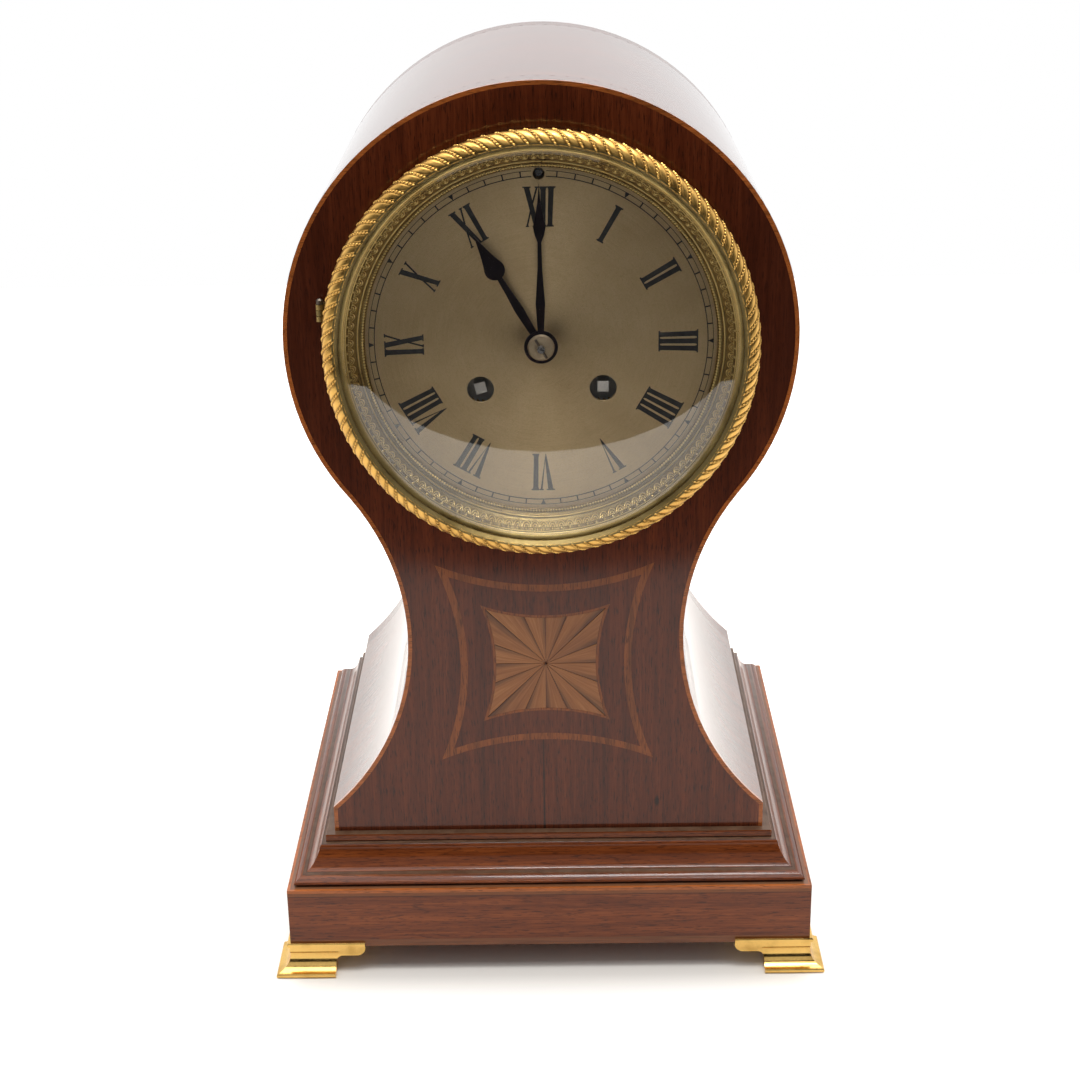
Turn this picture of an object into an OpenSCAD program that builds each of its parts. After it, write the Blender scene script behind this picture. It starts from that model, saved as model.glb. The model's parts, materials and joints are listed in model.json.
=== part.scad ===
// Balloon mantel clock: veneered balloon case on a moulded plinth with four bracket feet,
// hinged rope-edged bezel with domed glass, silvered dial, eight-day striking movement.
// Millimetres. Origin at the centre of the feet on the table, front faces -Y, +Z up.

/* [Case] */
// Radius of the round drum
drum_r = 83; // [70:0.5:95]
// Height of the drum centre above the table
drum_z = 226.8; // [210:0.1:245]
// Width of the waist at its narrowest
waist_w = 94; // [80:0.5:110]
// Drop from the drum centre to the narrowest part of the waist
waist_drop = 104; // [95:0.5:110]
// Width of the flared foot of the body
flare_w = 152; // [140:0.5:160]
// Depth of the body from front face to back face
case_depth = 146; // [136:1:156]
// Thickness of the front and back boards
board_t = 10; // [8:0.5:12]
// Thickness of the bent side
side_t = 7; // [5:0.5:9]
// Width of the boxwood line on the front edge
string_w = 1.4; // [0.8:0.1:2]

/* [Base] */
// Width of the plinth
plinth_w = 184.4; // [176:0.2:190]
// Depth of the plinth
plinth_d = 178.1; // [172:0.1:184]
// Height of the plinth
plinth_h = 23; // [19:0.2:26]
// Height of the stepped moulding on the plinth
mould_h = 14.7; // [13:0.1:16]
// Height of the bracket feet
foot_h = 12; // [10:0.5:14]
// How far the foot lips rise over the face of the plinth
foot_lip = 1.8; // [1:0.1:2.2]
// How far the foot pads stand out past the plinth
foot_out = 5; // [4:0.25:6]
// Length of a foot wing along the plinth
wing_l = 26.5; // [24:0.5:30]

/* [Inlay] */
// Half width of the hollow-sided inlay frame at its corners
frame_half = 37; // [32:0.5:38]
// How far its sides bow inwards
frame_sag = 7.7; // [6:0.1:9]
// Width of the inlay frame line
frame_line = 2.5; // [1.5:0.1:3.5]
// Half width of the fan at its corners
fan_half = 22; // [18:0.5:24]
// How far the sides of the fan bow inwards
fan_sag = 4; // [3:0.1:5]
// Drop from the drum centre to the inlay centre
inlay_drop = 113.9; // [110:0.1:118]

/* [Dial and bezel] */
// Radius of the rope ring at its outer edge
rope_r = 69.8; // [68:0.2:72]
// Radius of the rounded rope band
rope_round = 4.15; // [3.6:0.05:4.6]
// Height of the bezel in front of the case
bezel_h = 11.9; // [11:0.1:13]
// Rise of the domed glass
glass_rise = 6.5; // [5:0.1:8]
// Radius of the opening of the sight ring
sight_r = 56.4; // [55.5:0.1:57]
// Radius of a winding hole
wind_hole_r = 4.4; // [3.8:0.1:5]
// Distance of the winding arbors from the centre line
wind_x = 19.85; // [19.6:0.05:20.4]
// Drop of the winding arbors below the dial centre
wind_drop = 15.4; // [14.8:0.1:16]
// Height of the regulating arbor above the dial centre
regulator_rise = 54.3; // [53.6:0.1:55]
// Length of the minute hand
minute_l = 52.5; // [48:0.5:53]
// Length of the hour hand
hour_l = 41; // [36:0.5:43]

/* [Movement] */
// Radius of the movement plates
plate_r = 44; // [43:0.25:46]
// Thickness of the movement plates
plate_t = 2.4; // [2:0.1:2.6]
// Length of the pendulum from its bend to the bob
pendulum_l = 142.6; // [134:0.2:146]
// Radius of the pendulum bob
bob_r = 17; // [14:0.5:19]
// Radius of the bell
bell_r = 31; // [29:0.5:33]

/* [View] */
// Node to draw

/* [Hidden] */
$fa = 3;
$fs = 0.6;
front_y = -case_depth/2;
seat_z = foot_h - foot_lip;
plinth_top = seat_z + plinth_h;
body_z = plinth_top + mould_h;
body_drop = drum_z - body_z;
// Waist arc, running into the drum with a slight bite so that the two curves cross cleanly
bite = 0.03;
bite_r = drum_r - bite;
waist_r = (pow(waist_w/2, 2) + pow(waist_drop, 2) - pow(bite_r, 2)) / (2*(bite_r - waist_w/2));
flare_r = waist_r + 2.8;
eps = 0.01;
// Running clearance of pivots, and the gap left around inlays
run = 0.12;
inlay_gap = 0.05;
inlay_t = 0.8;
fan_line = 0.9;
// Bezel stack, measured forward of the case front
hole_r = 63;
seat_r = hole_r - 2;
sleeve_r = hole_r - 0.4;
flange_r = hole_r + 4;
ring_t = 1.2;
dial_r = 60.8;
dial_front = -0.5;
dial_t = 1;
// Movement levels behind the case front
plate_front = -12;
plate_gap = 30;
plate_back = plate_front - plate_t - plate_gap;
back_face = plate_back - plate_t;
pivot_r = 0.6;
// Dial-side arbors
going_p = [wind_x, -wind_drop];
strike_p = [-wind_x, -wind_drop];
centre_p = [0, 0];
escape_p = [0, 22];
pallet_p = [0, 34];
// Teeth: great wheels, second wheels, centre, third, escape and their pinions
great_n = 84;
great_m = 0.42;
second_pin_n = 14;
second_n = 80;
second_m = 0.32;
centre_pin_n = 10;
centre_n = 96;
centre_m = 0.26;
third_pin_n = 8;
third_n = 88;
third_m = 0.24;
escape_pin_n = 8;
escape_n = 36;
escape_r = 8.2;
strike2_n = 78;
pinw_pin_n = 8;
pinw_n = 60;
pinw_m = 0.28;
lock_pin_n = 8;
lock_n = 56;
lock_m = 0.26;
warn_pin_n = 8;
warn_n = 48;
warn_m = 0.24;
fly_pin_n = 8;
cannon_n = 12;
minute_n = 36;
motion_m = 0.4;
minpin_n = 10;
hour_n = 40;
hour_m = motion_m*(cannon_n + minute_n)/(minpin_n + hour_n);

function reach(a, b, m) = (a + b)*m/2;
function polar(p, d, a) = [p[0] + d*cos(a), p[1] + d*sin(a)];
function bearing(p, q) = atan2(q[1] - p[1], q[0] - p[0]);
function gap(p, q) = norm(q - p);
// Point at distance a from p and b from q, on the left of the line from p to q
function meet(p, q, a, b) = let (d = gap(p, q))
    polar(p, a, bearing(p, q) + acos((a*a + d*d - b*b)/(2*a*d)));
// Turn of a driven gear so that its gap faces the tooth of the driver
function mesh(p, q, na, a0, nb) = let (th = bearing(p, q))
    th + 180 - 360/nb*(0.5 - (th - a0)*na/360);

second_p = meet(centre_p, going_p, reach(second_n, centre_pin_n, second_m),
    reach(great_n, second_pin_n, great_m));
third_p = meet(centre_p, escape_p, reach(centre_n, third_pin_n, centre_m),
    reach(third_n, escape_pin_n, third_m));
strike2_p = polar(strike_p, reach(great_n, second_pin_n, great_m), 100);
pinw_p = polar(strike2_p, reach(strike2_n, pinw_pin_n, second_m), 80);
lock_p = polar(pinw_p, reach(pinw_n, lock_pin_n, pinw_m), 40);
warn_p = polar(lock_p, reach(lock_n, warn_pin_n, lock_m), 75);
fly_p = polar(warn_p, reach(warn_n, fly_pin_n, warn_m), 185);
minwheel_p = polar(centre_p, reach(cannon_n, minute_n, motion_m), 30);
hammer_p = [-30.5, 28];
pillar_p = [[33, 22], [-34.5, 20.5], [9, -39], [-9, -39]];

// Phases, each gear set by the one that drives it
second_a = mesh(going_p, second_p, great_n, 0, second_pin_n);
centre_a = mesh(second_p, centre_p, second_n, second_a, centre_pin_n);
third_a = mesh(centre_p, third_p, centre_n, centre_a, third_pin_n);
escape_a = mesh(third_p, escape_p, third_n, third_a, escape_pin_n);
strike2_a = mesh(strike_p, strike2_p, great_n, 0, second_pin_n);
pinw_a = mesh(strike2_p, pinw_p, strike2_n, strike2_a, pinw_pin_n);
lock_a = mesh(pinw_p, lock_p, pinw_n, pinw_a, lock_pin_n);
warn_a = mesh(lock_p, warn_p, lock_n, lock_a, warn_pin_n);
fly_a = mesh(warn_p, fly_p, warn_n, warn_a, fly_pin_n);
minwheel_a = mesh(centre_p, minwheel_p, cannon_n, 0, minute_n);
hour_a = mesh(minwheel_p, centre_p, minpin_n, minwheel_a, hour_n);

// Local XY is the dial seen from the front, local +Z comes forward
module at(p, t) { translate([p[0], front_y - t, drum_z + p[1]]) rotate([90, 0, 0]) children(); }
// Slab between the plates, from depth s behind the front plate
module level(p, s, h) { at(p, plate_front - plate_t - s - h) linear_extrude(h) children(); }
// Turned piece about the dial axis: profile is [radius, forward]
module turned(p = [0, 0], t = 0) { at(p, t) rotate_extrude($fn = 144) children(); }
module tube(r, bore, h) difference() {
    cylinder(r = r, h = h);
    translate([0, 0, -1]) cylinder(r = bore, h = h + 2);
}

// Toothed disc: ogive teeth on wheels, slim leaves on pinions
module teeth(n, m, add, ded, thick, tip, turn) {
    rp = n*m/2;
    h = thick*180/n;
    polygon([for (i = [0:n-1]) each [for (q = [[rp - ded*m, -h], [rp, -h], [rp + add*m, -h*tip],
        [rp + add*m, h*tip], [rp, h], [rp - ded*m, h]])
        [q[0]*cos(i*360/n + turn + q[1]), q[0]*sin(i*360/n + turn + q[1])]]]);
}
module wheel_2d(n, m, turn) { teeth(n, m, 0.9, 1.4, 0.4, 0.45, turn); }
module pinion_2d(n, m, turn) { teeth(n, m, 0.6, 1.5, 0.34, 0.5, turn); }
// Crossed-out wheel with four arms
module crossed(n, m, turn) {
    r = n*m/2;
    rim = r - 2.6*m - 0.9;
    hub = max(2.2, r*0.24);
    arm = max(0.9, r*0.13);
    difference() {
        wheel_2d(n, m, turn);
        difference() {
            circle(r = rim);
            circle(r = hub);
            for (a = [0, 90]) rotate(a + turn) square([2*r, arm], center = true);
        }
    }
}
// Arbor between the plates with a pivot at each end
module arbor(p, r, end = 0.4) {
    level(p, end, plate_gap - 2*end) circle(r = r);
    level(p, -plate_t + 0.2, plate_gap + 2*plate_t - 0.4) circle(r = pivot_r);
}

// Balloon outline seen from the front, inset by e, about the drum centre
module outline(e = 0) {
    top = (drum_r - e)*waist_drop/(drum_r + waist_r);
    circle(r = drum_r - e, $fn = 180);
    difference() {
        translate([-(flare_w/2 - e), -body_drop]) square([flare_w - 2*e, body_drop - top]);
        for (s = [-1, 1]) {
            intersection() {
                translate([s*(waist_w/2 + waist_r), -waist_drop]) circle(r = waist_r + e, $fn = 180);
                translate([(s - 1)/2*flare_w, -waist_drop]) square([flare_w, waist_drop]);
            }
            intersection() {
                translate([s*(waist_w/2 + flare_r), -waist_drop]) circle(r = flare_r + e, $fn = 180);
                translate([(s - 1)/2*flare_w, -body_drop]) square([flare_w, body_drop - waist_drop]);
            }
        }
    }
}
// Square with hollow sides
module hollow_square(half, sag, e = 0) {
    r = (half*half + sag*sag)/(2*sag);
    difference() {
        square(2*half, center = true);
        for (a = [0:90:270]) rotate(a) translate([half - sag + r, 0]) circle(r = r + e, $fn = 180);
    }
}
module fan_petal(i) {
    a = 360/16;
    big = fan_half*2;
    intersection() {
        hollow_square(fan_half, fan_sag, fan_line + inlay_gap);
        rotate(i*a) translate([0.3, 0]) polygon([[0, 0], [big, 0.06], [big*cos(a), big*sin(a) - 0.06]]);
    }
}
inlay_p = [0, -inlay_drop];

module front_panel() color("#5a2416") difference() {
    union() {
        at([0, 0], -board_t) linear_extrude(board_t - string_w) outline();
        at([0, 0], -string_w) linear_extrude(string_w) outline(string_w);
    }
    at([0, 0], -board_t - 1) cylinder(r = hole_r, h = board_t + 2, $fn = 180);
    at(inlay_p, -inlay_t) linear_extrude(inlay_t + 1) difference() {
        hollow_square(frame_half, frame_sag);
        hollow_square(frame_half, frame_sag, frame_line);
    }
    at(inlay_p, -inlay_t) linear_extrude(inlay_t + 1) hollow_square(fan_half, fan_sag);
}
module back_panel() color("#4a2015") difference() {
    at([0, 0], -case_depth) linear_extrude(board_t) outline();
    at([0, 0], -case_depth - 1) cylinder(r = hole_r, h = board_t + 2, $fn = 180);
}
module side_band() color("#5a2416") at([0, 0], -case_depth + board_t)
    linear_extrude(case_depth - 2*board_t) difference() {
        outline();
        outline(side_t);
    }
module inlay_lines() color("#c8873c") at(inlay_p, -inlay_t) linear_extrude(inlay_t) {
    difference() {
        hollow_square(frame_half, frame_sag);
        hollow_square(frame_half, frame_sag, frame_line);
    }
    difference() {
        hollow_square(fan_half, fan_sag);
        hollow_square(fan_half, fan_sag, fan_line);
    }
}
module inlay_fan() color("#c89048") at(inlay_p, -inlay_t) linear_extrude(inlay_t)
    for (i = [0:15]) fan_petal(i);

// Stepped moulding on the plinth: undercut foot, cove, rounded nose and a flat ledge under the body
face_in = 4.45;
under_in = 0.75;
under_h = 1;
cove_r = 3.2;
cove_z = 7;
nose_r = 1;
ledge_in = 12.15;
ledge_h = 2.2;
module mould_2d(half) {
    low = half - face_in;
    up = low - cove_r;
    nose_z = mould_h - ledge_h - nose_r;
    difference() {
        polygon([[0, 0], [low - under_in, 0], [low - under_in, under_h], [low, under_h], [low, cove_z],
            [up, cove_z], [up, nose_z],
            [up - nose_r, mould_h - ledge_h], [half - ledge_in, mould_h - ledge_h],
            [half - ledge_in, mould_h], [0, mould_h]]);
        translate([low, cove_z]) circle(r = cove_r, $fn = 64);
    }
    translate([up - nose_r, nose_z]) circle(r = nose_r, $fn = 48);
}
module both_sides(w) for (s = [0, 1]) mirror([s, 0]) mould_2d(w/2);
module base_moulding() color("#4f2014") translate([0, 0, plinth_top]) intersection() {
    rotate([90, 0, 0]) linear_extrude(2*plinth_d, center = true) both_sides(plinth_w);
    rotate([90, 0, 90]) linear_extrude(2*plinth_w, center = true) both_sides(plinth_d);
}
line_w = 1.2;
band_w = 2.7;
line_t = 1;
module rim(w, d, z, h, t) translate([0, 0, z]) linear_extrude(h) difference() {
    square([w, d], center = true);
    square([w - 2*t, d - 2*t], center = true);
}
module plinth() color("#4f2014") difference() {
    translate([0, 0, seat_z + plinth_h/2]) cube([plinth_w, plinth_d, plinth_h], center = true);
    rim(plinth_w + 2, plinth_d + 2, seat_z - 1, 1 + band_w, 1 + line_t);
    rim(plinth_w + 2, plinth_d + 2, plinth_top - line_w, 1 + line_w, 1 + line_t);
    for (c = [[-1, -1], [1, -1], [-1, 1], [1, 1]]) translate([c[0]*screw_x, c[1]*screw_y, seat_z - 1])
        cylinder(r = screw_r, h = screw_l + 1);
}
// Boxwood line on the front edge of the case, line and broader band on the edges of the plinth
module stringing() color("#c8873c") {
    at([0, 0], -string_w) linear_extrude(string_w) difference() {
        outline();
        outline(string_w);
    }
    rim(plinth_w, plinth_d, seat_z, band_w, line_t);
    rim(plinth_w, plinth_d, plinth_top - line_w, line_w, line_t);
}

// Bracket foot at the corner x < 0, y < 0, mitred from one moulded section
pad_in = 16;
wing_h = 5.6;
wing_round = 3;
wing_fillet = 2.4;
foot_wall = 3;
top_web = 2;
screw_r = 1.5;
screw_l = 9;
head_r = 2.8;
head_h = 1.6;
screw_x = plinth_w/2 - 12;
screw_y = plinth_d/2 - 12;
module foot_section() difference() {
    polygon([[-foot_out + 0.6, 0], [-foot_out, 0.6], [-foot_out, 1.4], [-0.4, 6], [-0.4, foot_h - 1.8],
        [-1.2, foot_h - 1.4], [-1.2, foot_h - 0.4], [-0.8, foot_h], [60, foot_h], [60, 0]]);
    translate([-foot_out - 0.4, 6.9]) circle(r = 5.2, $fn = 64);
}
// Cut that leaves a plain wing with a rounded end and a fillet down to the pad
module wing_cut() difference() {
    wing_z = foot_h - wing_h;
    translate([pad_in, -1]) square([60, foot_h + 2]);
    translate([pad_in - 1, wing_z]) square([wing_l - pad_in - wing_round + 1, wing_h + 2]);
    translate([pad_in, wing_z + wing_round]) square([wing_l - pad_in, wing_h]);
    translate([wing_l - wing_round, wing_z + wing_round]) circle(r = wing_round, $fn = 48);
    translate([pad_in - eps, wing_z - wing_fillet]) difference() {
        square([wing_fillet, wing_fillet + eps]);
        translate([wing_fillet, 0]) circle(r = wing_fillet, $fn = 48);
    }
}
module foot_corner() difference() {
    intersection() {
        rotate([90, 0, 0]) mirror([0, 0, 1]) translate([0, 0, -foot_out - 2])
            linear_extrude(wing_l + foot_out + 2) foot_section();
        rotate([90, 0, 90]) translate([0, 0, -foot_out - 2])
            linear_extrude(wing_l + foot_out + 2) foot_section();
        translate([-foot_out - 1, -foot_out - 1, 0]) linear_extrude(foot_h)
            difference() {
                square(wing_l + foot_out + 1);
                translate([pad_in + foot_out + 4, pad_in + foot_out + 4]) square(wing_l);
            }
    }
    translate([foot_wall, foot_wall, -1]) cube([wing_l, wing_l, seat_z - top_web + 1]);
    translate([0, 0, seat_z]) cube([60, 60, foot_lip + 1]);
    translate([0, foot_wall, 0]) rotate([90, 0, 0]) linear_extrude(foot_wall + foot_out + 2)
        wing_cut();
    mirror([1, -1, 0]) translate([0, foot_wall, 0]) rotate([90, 0, 0])
        linear_extrude(foot_wall + foot_out + 2)
        wing_cut();
    translate([plinth_w/2 - screw_x, plinth_d/2 - screw_y, -1]) cylinder(r = screw_r, h = foot_h + 2);
}
module foot(sx, sy) color("#d8a63c") mirror([sx > 0 ? 1 : 0, 0, 0])
    mirror([0, sy > 0 ? 1 : 0, 0]) translate([-plinth_w/2, -plinth_d/2, 0]) foot_corner();
module foot_front_left() { foot(-1, -1); }
module foot_front_right() { foot(1, -1); }
module foot_back_left() { foot(-1, 1); }
module foot_back_right() { foot(1, 1); }
module foot_screws() color("#b08a3a") for (c = [[-1, -1], [1, -1], [-1, 1], [1, 1]])
    translate([c[0]*screw_x, c[1]*screw_y, 0]) {
        translate([0, 0, seat_z - top_web - head_h]) cylinder(r = head_r, h = head_h);
        translate([0, 0, seat_z - top_web - eps]) cylinder(r = screw_r, h = top_web + screw_l);
    }

// Fixed ring in the case front with the seat for the dial and the hinge knuckles
hinge_x = -(rope_r + 0.25);
hinge_t = 3;
knuckle_r = 1.3;
hinge_pin_r = 0.6;
hinge_mid = 11.7;
knuckle_l = 1.9;
module hinge_barrel(k)
    translate([hinge_x, front_y - hinge_t, drum_z + hinge_mid + (k - 0.5)*knuckle_l + 0.1])
    tube(knuckle_r, hinge_pin_r + (k == 0 ? run : 0), knuckle_l - 0.2);
module dial_ring() color("#c89a3c") {
    turned() polygon([[seat_r, -12], [sleeve_r, -12], [sleeve_r, 0], [flange_r, 0], [flange_r, ring_t],
        [seat_r, ring_t], [seat_r, -1.5], [seat_r - 2.5, -1.5], [seat_r - 2.5, -2.7], [seat_r, -2.7]]);
    for (k = [-1, 1]) {
        foot_z = drum_z + hinge_mid + (k - 0.5)*knuckle_l + 0.1;
        hinge_barrel(k);
        translate([hinge_x - 1, front_y - ring_t, foot_z])
            cube([3 - hinge_x - flange_r, ring_t, knuckle_l - 0.2]);
        translate([hinge_x - 1, front_y - hinge_t, foot_z]) difference() {
            cube([2, hinge_t, knuckle_l - 0.2]);
            translate([1, 0, -1]) cylinder(r = hinge_pin_r, h = knuckle_l + 2);
        }
    }
}
dial_foot_p = [[-25.5, 32.5], [25.5, 32.5], [0, -33]];
// Dial with its three riveted feet
module dial() color("#c9c2a6") {
    at([0, 0], dial_front - dial_t) difference() {
        cylinder(r = dial_r, h = dial_t, $fn = 180);
        translate([0, 0, -1]) {
            cylinder(r = 3.5, h = dial_t + 2);
            for (s = [-1, 1]) translate([s*wind_x, -wind_drop]) cylinder(r = wind_hole_r, h = dial_t + 2);
            translate([0, regulator_rise]) cylinder(r = 1.9, h = dial_t + 2);
        }
    }
    for (p = dial_foot_p) {
        at(p, plate_front) cylinder(r = 1.8, h = dial_front - 0.5 - plate_front);
        at(p, plate_front - plate_t - 0.6) cylinder(r = 1.1, h = plate_t + 1.6);
    }
}

// Hinged bezel: deep ring with a rope-cut outer round, a lip over the glass and a sloping sight ring
bezel_back = ring_t + 0.2;
round_r = rope_r - rope_round;
round_t = bezel_h - rope_round;
wall_r = rope_r - 1.4;
rope_foot = round_t - 0.6;
crest_r = round_r + 0.45;
rope_seat = rope_foot + wall_r - crest_r;
lip_r = rope_r - 5.4;
lip_t = bezel_h - 1.6;
glass_edge_r = lip_r + 0.8;
bore_r = glass_edge_r + 0.2;
glass_t = 1.8;
glass_back = bezel_h - 3.7;
glass_edge_t = 0.8;
// Domed glass, bevelled from just inside the lip down to its edge
dome_r = (glass_edge_r*glass_edge_r + glass_rise*glass_rise)/(2*glass_rise);
glass_h = glass_rise + glass_t;
bevel_r = lip_r - 2;
bevel_t = glass_h - dome_r + sqrt(dome_r*dome_r - bevel_r*bevel_r);
bevel = (glass_edge_r - bevel_r)/(bevel_t - glass_edge_t);
lip_under = glass_back + glass_edge_t + (glass_edge_r - lip_r)/bevel + 0.1;
module bezel() color("#c99a38") {
    turned() polygon([[bore_r, bezel_back], [wall_r, bezel_back], [wall_r, rope_foot], [crest_r, rope_seat],
        [crest_r, bezel_h - 0.05], [round_r, bezel_h - 0.05], [lip_r, lip_t], [lip_r, lip_under],
        [bore_r, lip_under]]);
    difference() {
        union() {
            hinge_barrel(0);
            translate([hinge_x, front_y - hinge_t - 0.5, drum_z + hinge_mid - 0.5*knuckle_l + 0.1])
                cube([-hinge_x - wall_r + 2.4, 1, knuckle_l - 0.2]);
        }
        translate([hinge_x, front_y - hinge_t, drum_z]) cylinder(r = hinge_pin_r + run, h = 2*hinge_mid);
    }
}
module bezel_rope() color("#d2a544") turned() difference() {
    intersection() {
        translate([round_r, round_t]) circle(r = rope_round, $fn = 72);
        translate([crest_r, rope_foot]) square(2*rope_round);
    }
    polygon([[crest_r - 1, rope_foot - 1], [wall_r + 1, rope_foot - 1], [crest_r - 1, rope_seat + 1]]);
}
// Sight ring under the glass, sloping down to the dial
module sight_ring() color("#d2a544") turned() polygon([[sight_r, -0.1], [sight_r, 0.5], [sight_r + 1.2, 1.5],
    [sight_r + 2.5, 3], [sight_r + 3, 3.6], [lip_r - 2, glass_back - 0.3], [lip_r - 1.6, glass_back],
    [bore_r - 0.02, glass_back], [bore_r - 0.02, glass_back - 1], [lip_r - 1, glass_back - 1],
    [lip_r - 1.8, glass_back - 1.6], [sight_r + 3.2, 2.4], [sight_r + 1.8, 0.6], [sight_r + 0.9, -0.1]]);
module bezel_glass() color("#e8f0f0", 0.25) turned(t = glass_back) intersection() {
    difference() {
        translate([0, glass_h - dome_r]) circle(r = dome_r, $fn = 720);
        translate([0, glass_rise - dome_r]) circle(r = dome_r, $fn = 720);
    }
    polygon([[0, -1], [glass_edge_r, -1], [glass_edge_r, glass_edge_t],
        [0, glass_edge_t + glass_edge_r/bevel]]);
}
pin_head_r = 1.1;
pin_head_h = 1.3;
module hinge_pins() color("#8c8c88") {
    translate([hinge_x, front_y - hinge_t, drum_z + hinge_mid]) {
        translate([0, 0, -1.5*knuckle_l]) cylinder(r = hinge_pin_r, h = 3*knuckle_l + eps);
        translate([0, 0, 1.5*knuckle_l]) cylinder(r = pin_head_r, h = pin_head_h);
        translate([0, 0, 1.5*knuckle_l + pin_head_h]) cylinder(r1 = pin_head_r, r2 = pin_head_r/2, h = 0.5);
    }
    translate([rear_hinge_x, -front_y + rear_hinge_t, drum_z - 1.5*rear_knuckle_l - 0.4])
        cylinder(r = rear_pin_r, h = 3*rear_knuckle_l + 0.8);
}

// Rear ring, door and the straps that draw the two rings together
rear_hinge_x = 68;
rear_hinge_t = 2.9;
door_back = ring_t + 0.2;
door_r = 64.5;
rear_knuckle_r = 1.6;
rear_knuckle_l = 5.4;
rear_pin_r = 0.7;
strap_w = 8;
strap_t = 2;
strap_r = 58.6;
// Local +Z goes back from the case back
module behind(t) { translate([0, -front_y + t, drum_z]) rotate([-90, 0, 0]) mirror([0, 1, 0]) children(); }
module rear_barrel(k)
    translate([rear_hinge_x, -front_y + rear_hinge_t, drum_z + (k - 0.5)*rear_knuckle_l + 0.1])
    tube(rear_knuckle_r, rear_pin_r + (k == 0 ? run : 0), rear_knuckle_l - 0.2);
module rear_ring() color("#c09038") {
    behind(0) rotate_extrude($fn = 144)
        polygon([[seat_r, -12], [sleeve_r, -12], [sleeve_r, 0], [flange_r - 1, 0], [flange_r - 1, ring_t],
            [seat_r, ring_t]]);
    for (s = [-1, 1]) difference() {
        translate([s*(strap_r + 0.2), -front_y - 3, drum_z]) cube([5, 2, strap_w], center = true);
        translate([s*strap_r, -front_y - 1, drum_z]) rotate([90, 0, 0]) cylinder(r = 1.3, h = 6);
    }
    for (k = [-1, 1]) {
        rear_barrel(k);
        translate([65, -front_y, drum_z + (k - 0.5)*rear_knuckle_l + 0.1]) difference() {
            cube([rear_hinge_x - 65, 2, rear_knuckle_l - 0.2]);
            translate([rear_hinge_x - 65, rear_hinge_t, -1])
                cylinder(r = rear_pin_r + 0.3, h = rear_knuckle_l + 2);
        }
    }
}
module rear_door() color("#c9983c") {
    difference() {
        behind(door_back) rotate_extrude($fn = 144) polygon([[0, 0], [door_r, 0], [door_r, 1],
            [door_r - 2.5, 1.6], [door_r - 8.5, 1.6], [door_r - 10.5, 2.4], [0, 2.4]]);
        translate([rear_hinge_x, -front_y + rear_hinge_t, drum_z]) cylinder(r = rear_knuckle_r + 0.15,
            h = 3*rear_knuckle_l + 0.4, center = true);
    }
    rear_barrel(0);
    translate([60, -front_y + door_back + 0.2, drum_z - 0.5*rear_knuckle_l + 0.1]) difference() {
        cube([rear_hinge_x - 60, 0.9, rear_knuckle_l - 0.2]);
        translate([rear_hinge_x - 60, rear_hinge_t - door_back - 0.2, -1])
            cylinder(r = rear_pin_r + 0.3, h = rear_knuckle_l + 2);
    }
    behind(door_back + 2) translate([-48, 0]) rotate_extrude($fn = 48)
        polygon([[0, 0], [3, 0], [3, 1.2], [1.6, 2], [1.6, 3.4], [3.2, 4.8], [3.2, 6], [2, 7], [0, 7.3]]);
}
strap_end = -front_y - 4;
module straps() color("#b08a3a") for (s = [-1, 1]) difference() {
    union() {
        intersection() {
            translate([s*(strap_r + strap_t/2 + 0.6), (front_y + 4 + strap_end)/2, drum_z])
                cube([strap_t + 0.4, strap_end - front_y - 4, strap_w], center = true);
            at([0, 0], -case_depth) cylinder(r = seat_r, h = case_depth, $fn = 144);
        }
        translate([s*(strap_r - 0.4), strap_end - 4, drum_z]) cube([4, 8, strap_w], center = true);
    }
    translate([s*strap_r, strap_end + 1, drum_z]) rotate([90, 0, 0]) cylinder(r = 1.1, h = 8);
}
module strap_screws() color("#8a8c8c") for (s = [-1, 1])
    translate([s*strap_r, -front_y - 2, drum_z]) rotate([90, 0, 0]) {
        translate([0, 0, -1.4]) cylinder(r = 2.2, h = 1.4);
        translate([0, 0, -eps]) cylinder(r = 1.1, h = 8);
    }

// Movement plates
pivot_p = [second_p, centre_p, third_p, escape_p, strike2_p, pinw_p, lock_p, warn_p, fly_p, hammer_p];
module pivots(r) for (p = pivot_p) translate(p) circle(r = r);
module front_plate() color("#c9a045") {
    at([0, 0], plate_front - plate_t) linear_extrude(plate_t) difference() {
        union() {
            circle(r = plate_r, $fn = 144);
            translate([-5, 0]) square([10, regulator_rise + 4]);
        }
        pivots(pivot_r + run);
        translate(centre_p) circle(r = 1.2 + run);
        translate(pallet_p) circle(r = pivot_r + run);
        for (p = [going_p, strike_p]) translate(p) circle(r = 2.6 + run);
        for (p = dial_foot_p) translate(p) circle(r = 1.1);
        for (p = pillar_p) translate(p) circle(r = 1.35);
        translate([0, regulator_rise]) circle(r = 1.2 + run);
    }
    at(minwheel_p, plate_front - 1) cylinder(r = 0.8, h = 10);
}
module back_plate() color("#c9a045") at([0, 0], back_face) linear_extrude(plate_t) difference() {
    circle(r = plate_r, $fn = 144);
    pivots(pivot_r + run);
    translate(pallet_p) circle(r = 2.2);
    for (p = [going_p, strike_p]) translate(p) circle(r = 2.6 + run);
    for (p = pillar_p) translate(p) circle(r = 1.35);
    translate(stand_p) circle(r = 1.6);
}
module pillars() color("#c9a045") for (p = pillar_p) {
    level(p, 0, plate_gap) circle(r = 2.6);
    level(p, -plate_t, plate_gap + 2*plate_t + 1) circle(r = 1.35);
}

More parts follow.
